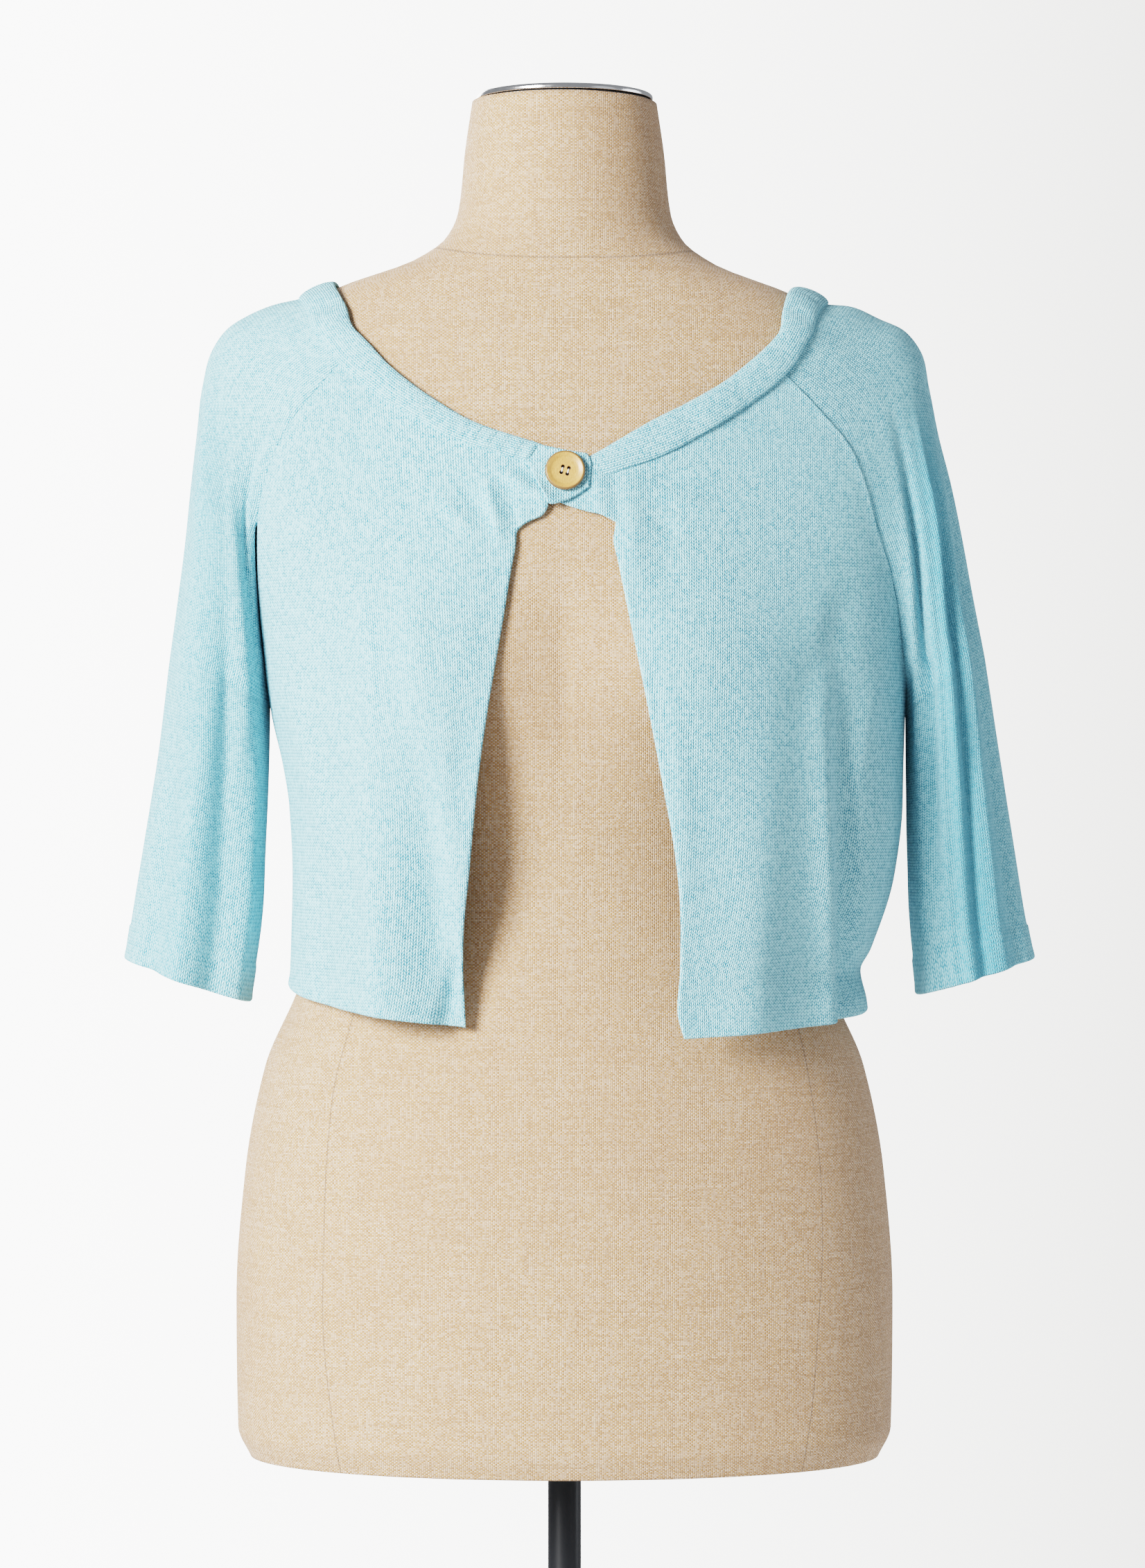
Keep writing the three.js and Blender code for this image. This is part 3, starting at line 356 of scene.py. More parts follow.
class Curve:
    """A smooth curve through rows of named columns, read at any place between its first and last knot.

    Cubic Hermite pieces. The slope at a knot is the mean of the steps beside it, weighted by the other's
    length. With level set it is their weighted harmonic mean, or 0 at a turning point, and never overshoots.
    """

    def __init__(self, columns, knots, level=False):
        order = np.argsort(knots)
        self.names = list(columns)
        self.knots = np.asarray(knots, float)[order]
        self.values = np.stack([columns[name][order] for name in self.names], axis=-1)
        length = np.diff(self.knots)[:, None]
        step = np.diff(self.values, axis=0) / length
        before, after, h0, h1 = step[:-1], step[1:], length[:-1], length[1:]
        inner = (before * h1 + after * h0) / (h0 + h1)
        if level:
            same = before * after > 0
            first, second = np.where(same, before, 1), np.where(same, after, 1)
            harmonic = 3 * (h0 + h1) / ((2 * h1 + h0) / first + (h1 + 2 * h0) / second)
            inner = np.where(same, harmonic, 0)
        self.slopes = np.concatenate([step[:1], inner, step[-1:]])

    def __call__(self, at):
        at = np.clip(np.asarray(at, float), self.knots[0], self.knots[-1])
        i = np.clip(np.searchsorted(self.knots, at) - 1, 0, len(self.knots) - 2)
        h = (self.knots[i + 1] - self.knots[i])[..., None]
        t = (at - self.knots[i])[..., None] / h
        t2, t3 = t * t, t * t * t
        value = self.values[i] * (2 * t3 - 3 * t2 + 1) + self.values[i + 1] * (3 * t2 - 2 * t3)
        value = value + self.slopes[i] * h * (t3 - 2 * t2 + t) + self.slopes[i + 1] * h * (t3 - t2)
        return {name: value[..., c] for c, name in enumerate(self.names)}


def path_curve(columns, *measured, extra=0):
    """A curve read from 0 to 1 by its length over the measured columns, with extra added to each step."""
    steps = np.sqrt(sum(np.diff(m) ** 2 for m in measured)) + extra
    knots = np.concatenate([[0], np.cumsum(steps)])
    return Curve(columns, knots / knots[-1])


form_ring = Curve(FORM_RINGS, FORM_RINGS["height"], level=True)
cloth_ring = Curve(CLOTH_RINGS, CLOTH_RINGS["height"], level=True)


def section_point(turn, height, width, front, back, bust_below):
    """A point of a level section: x is width times the sine of turn, y the front or back depth times its
    cosine to a power just under 1, which squares the oval a little, and the bust is two soft swells."""
    angle = np.radians(turn)
    across, ahead = np.sin(angle), np.cos(angle)
    x = width * across
    depth = np.abs(ahead) ** FULLNESS
    spread = np.where(height > BUST["height"], BUST["above"], bust_below)
    swell = BUST["rise"] * bell((np.abs(x) - BUST["x"]) / BUST["spread"]) * bell((height - BUST["height"]) / spread)
    y = np.where(ahead > 0, -front * depth - swell * np.sqrt(np.maximum(ahead, 0)), back * depth)
    drop = SHOULDER_DROP * smooth(0, 150, x) * smooth(1180, 1300, height)
    return np.stack([x, y, height - drop], axis=-1)


def form_point(turn, height):
    ring = form_ring(height)
    return section_point(turn, height, ring["width"], ring["front"], ring["back"], BUST["below"])


def cloth_base(turn, height):
    ring = cloth_ring(height)
    width = np.where(np.sin(np.radians(turn)) < 0, ring["right"], ring["left"])
    return section_point(turn, height, width, ring["front"], ring["back"], BUST["cloth_below"])


def turn_at(x, height, face):
    """The turn of a cloth point from its distance across: the arc sine, carried to the back where face is -1."""
    ring = cloth_ring(height)
    ratio = np.clip(x / np.where(x < 0, ring["right"], ring["left"]), -1, 1)
    turn = np.where(face == 0, 90 * np.sign(x), np.degrees(np.arcsin(ratio)))
    return np.where(face >= 0, turn, np.where(x < 0, -180 - turn, 180 - turn))


def fold_rise(point, turn, height):
    """The hanging folds, each a bell across that grows down to the hem, and the creases, each a bell round
    its own line that fades out at both ends."""
    face = np.where(np.cos(np.radians(turn)) > 0, 1, -1)
    rise = np.zeros_like(height)
    for side, x_top, x_hem, start, half_width, height_out in zip(*HANGING_FOLDS.values()):
        down = smooth(start, HEM_Z + 20, height)
        middle = mix(x_top, x_hem, np.clip((start - height) / (start - HEM_Z), 0, 1))
        rise = rise + (face == side) * height_out * down * bell((point[..., 0] - middle) / half_width)
    for side, x0, z0, x1, z1, half_width, height_out in zip(*SOFT_CREASES.values()):
        length = math.hypot(x1 - x0, z1 - z0)
        ahead = np.array([x1 - x0, z1 - z0]) / length
        along = (point[..., 0] - x0) * ahead[0] + (height - z0) * ahead[1]
        across = (point[..., 0] - x0) * ahead[1] - (height - z0) * ahead[0]
        fade = smooth(0, 0.45 * length, along) * smooth(0, 0.45 * length, length - along)
        rise = rise + (face == side) * height_out * fade * bell(across / half_width)
    return rise


def cloth_point(turn, height, lift=0):
    """Points of the cloth surface and their outward normals, lifted by a given height and by the folds. The
    normal is the cross of the steps along and up, taken between neighbours half a degree and 1 mm away."""
    turn, height = np.broadcast_arrays(np.asarray(turn, float), np.asarray(height, float))
    base = cloth_base(turn, height)
    along = cloth_base(turn + 0.5, height) - cloth_base(turn - 0.5, height)
    up = cloth_base(turn, height + 1) - cloth_base(turn, height - 1)
    normal = unit(np.cross(along, up))
    return base + normal * (lift + fold_rise(base, turn, height))[..., None], normal


# The neckband's two edges as one path round the form, with the turns unwound past the back
def neckband_path():
    face = BAND_ROWS["face"]
    columns = {}
    for edge in ("outer", "inner"):
        x, height = BAND_ROWS[edge + "X"], BAND_ROWS[edge + "Height"]
        turn = turn_at(x, height, face)
        columns[edge + "Turn"] = np.where((x > 0) | (turn == 180), turn - 360, turn)
        columns[edge + "Height"] = height
    return path_curve(columns, columns["outerTurn"] * 2, columns["outerHeight"])


band_path = neckband_path()


def band_edge(from_row, to_row, at):
    """Turn and height of the band's outer edge between two of its rows, at 0 to 1 of the way."""
    place = band_path(mix(band_path.knots[BAND_AT[from_row]], band_path.knots[BAND_AT[to_row]], at))
    return place["outerTurn"], place["outerHeight"]


def sleeve_top(side, at):
    """The band's edge over one sleeve: the front half of the way to the ridge, then the back half."""
    front = band_edge("front_" + side, "ridge_" + side, np.minimum(at * 2, 1))
    back = band_edge("ridge_" + side, "back_" + side, np.maximum(at * 2 - 1, 0))
    return tuple(np.where(at < 0.5, f, b) for f, b in zip(front, back))


def side_turn(side):
    return -90 if side == "right" else 90


def raglan_seam(side, face, at):
    """Turn and height along a raglan seam, 0 at the band and 1 at the underarm, where it meets the side."""
    rows = RAGLANS[side, face]
    place = path_curve(rows, rows["x"], rows["height"])(at)
    turn = turn_at(place["x"], place["height"], face)
    return mix(turn, side_turn(side), smooth(0.86, 1, at)), place["height"]


def panel_side(side, face, row):
    """A panel's outer edge: the raglan seam, then straight down the side seam to the hem."""
    turn, height = raglan_seam(side, face, np.minimum(row / RAGLAN_ROWS, 1))
    below = (row - RAGLAN_ROWS) / SIDE_ROWS
    straight = mix(UNDERARM[side], SIDE_HEM[side], below)
    return np.where(below > 0, side_turn(side), turn), np.where(below > 0, straight, height)


def front_centre(side, row):
    """A front's inner edge: up along the band, then the free edge down to the hem corner."""
    neck_end = "tab" if side == "right" else "button"
    unwound = 0 if side == "right" else 360
    turn, height = band_edge("front_" + side, neck_end, np.minimum((row + 1) / (NECK_ROWS + 1), 1))
    rows = FRONT_EDGES[side]
    last = RAGLAN_ROWS + SIDE_ROWS
    free = path_curve(rows, rows["x"], rows["height"])((row - NECK_ROWS) / (last - NECK_ROWS))
    below = row > NECK_ROWS
    free_turn = turn_at(free["x"], free["height"], 1)
    return np.where(below, free_turn, turn + unwound), np.where(below, free["height"], height)


def stations(last, count, length, edge, marks=()):
    """Even places from 0 to last, with a few more close to both ends, where an edge is rounded over a given
    number of millimetres of the piece's length, and at the places named in marks."""
    close = np.array([0.06, 0.25, 0.6, 1.0]) * edge / length * last
    even = np.linspace(0, last, count + 1)
    places = np.concatenate([even, close, last - close, np.asarray(marks, float)])
    return np.unique(np.round(places, 9))


def drawn(points, side, amount):
    """Moves one side of a grid of points square to its own edge: inwards, or outwards if amount is negative.
    The first side is column 0, the last side is the last column, and top and bottom are rows."""
    grid = points if side in ("first", "last") else points.transpose(1, 0, 2)
    here, inside = (0, 1) if side in ("first", "top") else (-1, -2)
    edge = grid[:, here]
    tangent = unit(np.gradient(edge, axis=0))
    inward = grid[:, inside] - edge
    inward = unit(inward - (inward * tangent).sum(axis=-1, keepdims=True) * tangent)
    grid[:, here] = edge + inward * np.reshape(amount, (-1, 1))
    return points


def edge_distances(points):
    """Each grid point's distance from the four edges, in the order top, bottom, first, last: the lengths of
    the steps along its own column or row, added up from that edge."""
    down = np.linalg.norm(np.diff(points, axis=0), axis=-1)
    along = np.linalg.norm(np.diff(points, axis=1), axis=-1)
    top = np.pad(np.cumsum(down, axis=0), ((1, 0), (0, 0)))
    first = np.pad(np.cumsum(along, axis=1), ((0, 0), (1, 0)))
    return top, top[-1:] - top, first, first[:, -1:] - first


# Meshes
def new_piece(name, points, faces, finishes, attributes=None, smooth_faces=True):
    """A mesh object at the origin from points in millimetres, with per-point attributes in millimetres."""
    mesh = bpy.data.meshes.new(name)
    mesh.from_pydata((np.asarray(points) * MM).tolist(), [], np.asarray(faces).tolist())
    mesh.validate()
    for label, values in (attributes or {}).items():
        values = np.asarray(values, float)
        kind, key = ("FLOAT", "value") if values.ndim == 1 else ("FLOAT_VECTOR", "vector")
        mesh.attributes.new(label, kind, "POINT").data.foreach_set(key, values.ravel())
    mesh.polygons.foreach_set("use_smooth", [smooth_faces] * len(mesh.polygons))
    for finish in finishes:
        mesh.materials.append(finish)
    piece = bpy.data.objects.new(name, mesh)
    bpy.context.scene.collection.objects.link(piece)
    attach(piece, "root")
    return piece


def quads(ids):
    """The four-cornered faces between the rows and columns of a grid of point numbers."""
    return np.stack([ids[:-1, :-1], ids[1:, :-1], ids[1:, 1:], ids[:-1, 1:]], axis=-1).reshape(-1, 4)


def outward(points, faces):
    """The same faces, turned round if the volume that they enclose is negative. Each face is a fan of two."""
    a, b, c, d = (points[faces[:, k]] for k in range(4))
    volume = (a * (np.cross(b, c) + np.cross(c, d))).sum()
    return faces if volume > 0 else faces[:, ::-1]


def shell(points, normals, thickness, rounding, depth):
    """A thin closed shell behind a grid of outer points: the middle lies at a given depth, and both faces
    stand off it by half a thickness times the root of 1 - (1 - s / rounding) squared, where s is the distance
    from the nearest edge, so that they meet in a round fold. Returns points, faces and the row-and-column
    number of each point."""
    thickness = np.broadcast_to(thickness, points.shape[:2])
    s = np.minimum.reduce(edge_distances(points))
    bulge = np.sqrt(np.clip(1 - (1 - np.minimum(s / rounding, 1)) ** 2, 0, 1))
    half = (thickness / 2)[..., None]
    middle = points - normals * np.broadcast_to(depth, points.shape[:2])[..., None]
    outer = middle + normals * half * bulge[..., None]
    inner = middle - normals * half * bulge[..., None]
    rows, columns = s.shape
    outer_ids = np.arange(rows * columns).reshape(rows, columns)
    inner_ids = outer_ids.copy()
    inner_ids[1:-1, 1:-1] = rows * columns + np.arange((rows - 2) * (columns - 2)).reshape(rows - 2, columns - 2)
    all_points = np.concatenate([outer.reshape(-1, 3), inner[1:-1, 1:-1].reshape(-1, 3)])
    faces = outward(all_points, np.concatenate([quads(outer_ids), quads(inner_ids)[:, ::-1]]))
    source = np.concatenate([outer_ids.ravel(), outer_ids[1:-1, 1:-1].ravel()])
    return all_points, faces, source


def grain_of(across, down, painted_shade=0.0):
    """The knit's own measure at each grid point: millimetres across the wales, millimetres along them, and
    how much painted shade darkens the cloth there, from 0 to 1."""
    return np.stack(np.broadcast_arrays(across, down, painted_shade), axis=-1).reshape(-1, 3)


def knit_piece(name, points, normals, thickness, rounding, grain, depth=WALL / 2):
    """One knitted piece as a thin shell, standing for the solid of the same name."""
    all_points, faces, source = shell(points, normals, thickness, rounding, depth)
    piece = new_piece(name + "_knit", all_points, faces, [knit()], {"grain": grain[source]})
    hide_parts(name)
    return piece


def wale_place(turn):
    """Millimetres round the cloth at bust height from the centre front, so that wales hang straight."""
    turns = np.linspace(-360, 180, 1081)
    ring = cloth_base(turns, np.full_like(turns, BUST["height"]))
    length = np.pad(np.cumsum(np.linalg.norm(np.diff(ring, axis=0), axis=-1)), (1, 0))
    return np.interp(turn, turns, length - np.interp(0, turns, length))


# The knitted pieces
FOLDED_EDGE = 0.9
EDGE_ROUNDING = 1.5
SEAM_LAP = 0.1
PLAIN_ROWS = 3
ARMHOLE_LAP = 1.2
FRONT_STEP = {"right": -0.5, "left": 0.7}
SLEEVE_STEP = -0.5
# Painted shade on the sleeves: how dark each sleeve is painted, most in a strip near its outer edge and less
# elsewhere
SLEEVE_SHADE = {"right": 0.35, "left": 1.0}
SLEEVE_SHADE_MIDDLE, SLEEVE_SHADE_HALF_WIDTH, SLEEVE_SHADE_ELSEWHERE = 0.27, 0.09, 0.25
STEP_WIDTH = 4
UNDER_BAND = 2.2


def edge_roll(distance):
    """Extra thickness where the knit is folded back on itself at a free edge, fading 2 to 7 mm inside it."""
    return FOLDED_EDGE * (1 - smooth(2, 7, distance))


def front_panel(side):
    """A front: straight lines of turn and height from the raglan and side seam to the free edge."""
    last = RAGLAN_ROWS + SIDE_ROWS
    row = stations(last, 190, 390, EDGE_ROUNDING)
    column = stations(1, 110, 150, EDGE_ROUNDING)
    outer_turn, outer_height = (v[:, None] for v in panel_side(side, 1, row))
    inner_turn, inner_height = (v[:, None] for v in front_centre(side, row))
    turn = mix(outer_turn, inner_turn, column)
    height = mix(outer_height, inner_height, column)
    points, normals = cloth_point(turn, height)
    step = FRONT_STEP[side] * bell(edge_distances(points)[2] / STEP_WIDTH) * (row <= RAGLAN_ROWS)[:, None]
    points = points + normals * step[..., None]
    under = UNDER_BAND * (1 - smooth(NECK_ROWS - 0.8, NECK_ROWS, row))
    drawn(points, "first", -SEAM_LAP)
    drawn(points, "last", -under)
    drawn(points, "top", -UNDER_BAND)
    _, hem, _, free = edge_distances(points)
    from_top = row[:, None] - NECK_ROWS
    free = np.where(from_top > (PLAIN_ROWS if side == "left" else 0), free, 100)
    thickness = WALL + edge_roll(np.minimum(hem, free))
    grain = grain_of(wale_place(turn), height)
    return knit_piece("front_" + side, points, normals, thickness, EDGE_ROUNDING, grain)


def back_panel():
    """The back: straight lines of turn and height between the side seams, its top drawn up to the band's
    edge by a share that falls as the square of the way down the raglans."""
    last = RAGLAN_ROWS + SIDE_ROWS
    row = stations(last, 170, 390, EDGE_ROUNDING)
    column = stations(1, 220, 400, EDGE_ROUNDING)
    right_turn, right_height = (v[:, None] for v in panel_side("right", -1, row))
    left_turn, left_height = (v[:, None] for v in panel_side("left", -1, row))
    top_turn, top_height = band_edge("back_right", "back_left", column)
    turn = mix(right_turn, left_turn - 360, column)
    height = mix(right_height, left_height, column)
    pull = np.maximum(1 - row / RAGLAN_ROWS, 0)[:, None] ** 2
    turn = turn + pull * (top_turn - turn[0])
    height = height + pull * (top_height - height[0])
    points, normals = cloth_point(turn, height)
    drawn(points, "first", -SEAM_LAP)
    drawn(points, "last", -SEAM_LAP)
    drawn(points, "top", -UNDER_BAND)
    _, hem, _, _ = edge_distances(points)
    grain = grain_of(wale_place(turn), height)
    return knit_piece("back", points, normals, WALL + edge_roll(hem), EDGE_ROUNDING, grain)


def grid_normals(points, sign):
    """Outward normals of a grid: the cross of the steps down and along, between each point's neighbours."""
    padded = np.pad(points, ((1, 1), (1, 1), (0, 0)), mode="edge")
    down = padded[2:, 1:-1] - padded[:-2, 1:-1]
    along = padded[1:-1, 2:] - padded[1:-1, :-2]
    return unit(np.cross(down, along)) * sign


def quarter_section(start, start_pull, end, end_pull, t):
    """A cubic curve from a seam point to the outer line, leaving each along its own pull."""
    s = 1 - t
    return start * (s * s * s + 3 * s * s * t) + end * (t * t * t + 3 * s * t * t) \
        + start_pull * 3 * s * s * t + end_pull * 3 * s * t * t


# How a sleeve's sections leave the seam and meet the outer line, as shares of their span and depth
SEAM_PULL = 0.38
OUTER_PULL = 0.55
FULL_FROM, FULL_AT = 0.2, 0.62
DRAWN_ROWS = 5
EASING_ROWS = 4
OUTER_BEHIND = 7


def sleeve_half(side, ahead, row, t):
    """Half of a sleeve, the front one if ahead is 1: each section a cubic from the raglan seam, or from the
    tube's inner edge below the underarm, to the outer line. Returns points and the seam's normals."""
    outward_x = -1 if side == "right" else 1
    at = np.minimum(row / RAGLAN_ROWS, 1)
    below = np.maximum(row - RAGLAN_ROWS, 0) / TUBE_ROWS
    tubes = SLEEVE_TUBES[side]
    shape = path_curve(tubes, tubes["outerHeight"])(below)
    (_, ridge_height) = sleeve_top(side, np.array(0.5))
    ridge, _ = cloth_point(side_turn(side), ridge_height)
    outer_rows = {name: np.concatenate([[ridge[k]], SLEEVE_OUTER[side][name]])
                  for k, name in enumerate(("x", "y", "height"))}
    over = path_curve(outer_rows, outer_rows["x"], outer_rows["height"])(at)
    in_tube = (row > RAGLAN_ROWS)[:, None]
    arm = np.stack([shape["outerX"], shape["middle"] + OUTER_BEHIND, shape["outerHeight"]], axis=-1)
    outer = np.where(in_tube, arm, np.stack([over["x"], over["y"], over["height"]], axis=-1))
    inner = np.stack([shape["innerX"], shape["middle"], shape["innerHeight"]], axis=-1)
    bulge = (shape["frontBulge"] if ahead > 0 else shape["backBulge"])[:, None]
    forward = np.array([0, -ahead, 0])

    seam, seam_normal = cloth_point(*raglan_seam(side, ahead, at))
    ahead_of, _ = cloth_point(*raglan_seam(side, ahead, np.minimum(at + 0.02, 1)))
    behind, _ = cloth_point(*raglan_seam(side, ahead, np.maximum(at - 0.02, 0)))
    away = np.cross(unit(ahead_of - behind), seam_normal)
    away = away * np.where(away[:, :1] * outward_x < 0, -1, 1)
    turned = smooth(0.5, 1, at)[:, None]
    to_inner = smooth(1 - 1 / RAGLAN_ROWS, 1, at)[:, None]
    start = np.where(in_tube, inner, mix(seam, inner, to_inner))
    span = np.linalg.norm(seam - outer, axis=-1, keepdims=True)
    start_pull = mix(away * span * SEAM_PULL, forward * bulge * 4 / 3, turned)
    end_pull = forward * np.abs(start[:, 1:2] - outer[:, 1:2]) * OUTER_PULL
    # Lower down both pulls reach far enough to give the section the tube's own depth
    reach = (8 * bulge[:, 0] - np.abs(start[:, 1])) / 6
    full = smooth(FULL_FROM, FULL_AT, at)
    start_pull[:, 1] = mix(start_pull[:, 1], -ahead * reach - start[:, 1], full)
    end_pull[:, 1] = mix(end_pull[:, 1], -ahead * reach - outer[:, 1], full)
    tube_pull = forward * bulge * 4 / 3
    to_tube = smooth(RAGLAN_ROWS, RAGLAN_ROWS + EASING_ROWS, row)[:, None]
    start_pull = mix(start_pull, tube_pull, to_tube)
    end_pull = mix(end_pull, tube_pull, to_tube)
    spread = (v[:, None] for v in (start, start_pull, outer, end_pull))
    return quarter_section(*spread, t[None, :, None]), seam_normal


def sleeve(side):
    """A sleeve: a front and a back half, drawn to the band at the top, with its folds along the normals."""
    outward_x = -1 if side == "right" else 1
    last = RAGLAN_ROWS + TUBE_ROWS
    hem_row = last - SLEEVE_HEM_DEPTH / 16.4
    row = stations(last, 210, 400, EDGE_ROUNDING, hem_row + np.array([-0.05, -0.02, 0.02, 0.05, 0.08]))
    round_it = stations(1, 150, 230, EDGE_ROUNDING, [0.5])
    t = 1 - np.abs(round_it - 0.5) * 2
    front, front_normal = sleeve_half(side, 1, row, t)
    back, back_normal = sleeve_half(side, -1, row, t)
    points = np.where((round_it <= 0.5)[:, None], front, back)

    band, band_normals = cloth_point(*sleeve_top(side, round_it))
    share = np.maximum(1 - row / DRAWN_ROWS, 0)[:, None, None] ** 2
    points = points + (band - points[0]) * share
    plain = grid_normals(points, outward_x)
    down = (row / last)[:, None]
    rise = np.zeros(points.shape[:2])
    for top, cuff, start, end, half_width, height_out in zip(*SLEEVE_FOLDS[side].values()):
        grown = smooth(start, start + 0.25, down) * (1 - smooth(end - 0.2, end, down))
        rise = rise + height_out * grown * bell((round_it - mix(top, cuff, down)) / half_width)
    from_seam = smooth(0, 0.08, round_it) * smooth(0, 0.08, 1 - round_it)
    cuff_distance = edge_distances(points)[1]
    hem = SLEEVE_HEM_RISE * smooth(SLEEVE_HEM_DEPTH + 0.8, SLEEVE_HEM_DEPTH - 0.8, cuff_distance)
    _, _, first, final = edge_distances(points)
    step = SLEEVE_STEP * bell(np.minimum(first, final) / STEP_WIDTH) * smooth(10, 7, row)[:, None]
    points = points + plain * (rise * from_seam + hem + step)[..., None]

    normals = grid_normals(points, outward_x)
    _, _, first, final = edge_distances(points)
    for distance, seam_normal in ((first, front_normal), (final, back_normal)):
        near = (1 - smooth(0, 4, distance)) * (row < RAGLAN_ROWS)[:, None]
        near = near * ((normals * seam_normal[:, None]).sum(axis=-1) > 0.35)
        normals = unit(mix(normals, seam_normal[:, None], near[..., None]))
    top = (1 - smooth(0, 4, edge_distances(points)[0]))[..., None]
    normals = unit(mix(normals, band_normals[None], top))
    lap = SEAM_LAP + ARMHOLE_LAP * smooth(7, 10, row) * smooth(RAGLAN_ROWS + 1, RAGLAN_ROWS, row)
    drawn(points, "first", -lap)
    drawn(points, "last", -lap)
    drawn(points, "top", -UNDER_BAND)

    _, cuff_distance, first, _ = edge_distances(points)
    middle = np.argmin(np.abs(round_it - 0.5))
    across = first - first[:, middle:middle + 1]
    along = -np.pad(np.cumsum(np.linalg.norm(np.diff(points[:, middle], axis=0), axis=-1)), (1, 0))[:, None]
    # Painted shade: the sleeve is painted darker, most in a strip round its outer edge, from a fifth of the way down
    strip_share = bell((round_it - SLEEVE_SHADE_MIDDLE) / SLEEVE_SHADE_HALF_WIDTH)
    painted_shade = SLEEVE_SHADE[side] * mix(SLEEVE_SHADE_ELSEWHERE, 1, strip_share) * smooth(0.12, 0.3, down)
    grain = grain_of(across, along, painted_shade)
    thickness = WALL + edge_roll(cuff_distance) * 0.6
    return knit_piece("sleeve_" + side, points, normals, thickness, EDGE_ROUNDING, grain)


# The rolled neckband: how far along it each row lies, how full it is, and how far it hangs over its outer edge
BAND_ROLL = table("place crown overhang", [
    [0, 0.5, 0],
    [0.025, 0.75, 0],
    [0.12, 0.7, 0],
    [0.3, 0.85, 0.3],
    [0.5, 0.8, 0],
    [0.7, 0.9, 0.5],
    [0.8, 1.15, 2],
    [0.9, 1.3, 5],
    [0.95, 1.15, 6],
    [0.98, 0.7, 3],
    [1, 0.15, 0],
])
BAND_WAVES = table("length swell phase", [
    [0.061, 0.16, 0.4],
    [0.037, 0.1, 1.9],
    [0.019, 0.05, 0.7],
])
GATHER_LENGTH, GATHER_SWELL = 0.0065, 0.16


def neckband():
    """The band: a crowned strip between its two edges. Across it, a runs as (1 - cos) / 2 of an angle whose
    sine is the crown, so that the section is half an oval; its outer side leans over the edge by a share of
    that sine, and long low waves run along it."""
    place = stations(1, 620, 780, EDGE_ROUNDING)
    angle = np.pi * np.linspace(0, 1, 27)
    a = (1 - np.cos(angle)) / 2
    roll = Curve(BAND_ROLL, BAND_ROLL["place"])(place)
    edges = {name: value[:, None] for name, value in band_path(place).items()}
    turn = mix(edges["outerTurn"], edges["innerTurn"], a)
    height = mix(edges["outerHeight"], edges["innerHeight"], a)
    base, normals = cloth_point(turn, height)
    waves = sum(swell * np.sin(2 * np.pi * place / length + phase) for length, swell, phase in zip(*BAND_WAVES.values()))
    waves = waves + GATHER_SWELL * np.sin(2 * np.pi * place / GATHER_LENGTH) * smooth(0.08, 0.02, place)
    crown = np.sin(angle) * BAND_RISE * (roll["crown"] + waves)[:, None]
    lean = unit(base[:, :1] - base[:, -1:]) * (roll["overhang"][:, None] * np.sin(angle) * (1 - a))[..., None]
    points = base + normals * crown[..., None] + lean
    drawn(points, "top", -1.2)
    thickness = WALL + crown
    length = np.pad(np.cumsum(np.linalg.norm(np.diff(points[:, 13], axis=0), axis=-1)), (1, 0))[:, None]
    across = edge_distances(points)[2]
    grain = grain_of(across, length)
    return knit_piece("neckband", points, normals, thickness, EDGE_ROUNDING, grain, depth=thickness / 2)


def strip(name, rows, extra_thickness, ends):
    """The tab or the underlap: straight across between an upper and a lower edge, at the lift above the cloth
    that its rows give. Each named end is drawn out under its neighbour by the given millimetres."""
    place = stations(1, 60, 36, EDGE_ROUNDING)
    t = stations(1, 44, 26, EDGE_ROUNDING)
    edges = {key: value[:, None] for key, value in path_curve(
        rows, rows["bottomX"], rows["bottomHeight"], extra=1)(place).items()}
    height = mix(edges["topHeight"], edges["bottomHeight"], t)
    x = mix(edges["topX"], edges["bottomX"], t)
    points, normals = cloth_point(turn_at(x, height, 1), height, edges["lift"])
    for side, amount in ends.items():
        drawn(points, side, -amount)
    edge = np.minimum.reduce(edge_distances(points))
    thickness = WALL + extra_thickness * (1 - smooth(1.5, 5, edge))
    grain = grain_of(wale_place(turn_at(x, height, 1)), height)
    return knit_piece(name, points, normals, thickness, EDGE_ROUNDING, grain)


# Hard pieces
def lathe(name, profile, finish, segments=96, node=None):
    """A profile of radius and height turned about the upright axis, from the axis round to the axis."""
    profile = np.asarray(profile, float)
    angle = np.linspace(0, 2 * np.pi, segments, endpoint=False)
    points = np.stack([profile[:, :1] * np.cos(angle), profile[:, :1] * np.sin(angle),
                       np.broadcast_to(profile[:, 1:], (len(profile), segments))], axis=-1)
    piece = closed_rings(name, points, finish)
    if node:
        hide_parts(node)
    return piece


def closed_rings(name, points, finish, attributes=None):
    """A mesh from rings of points that close on themselves, with the first and last rings shrunk to a point."""
    rings, segments = points.shape[:2]
    ids = np.arange(rings * segments).reshape(rings, segments)
    flat = points.reshape(-1, 3)
    faces = outward(flat, quads(np.concatenate([ids, ids[:, :1]], axis=1)))
    piece = new_piece(name, flat, faces, [finish], attributes)
    welded = bmesh.new()
    welded.from_mesh(piece.data)
    bmesh.ops.remove_doubles(welded, verts=welded.verts, dist=1e-7)
    welded.to_mesh(piece.data)
    welded.free()
    return piece


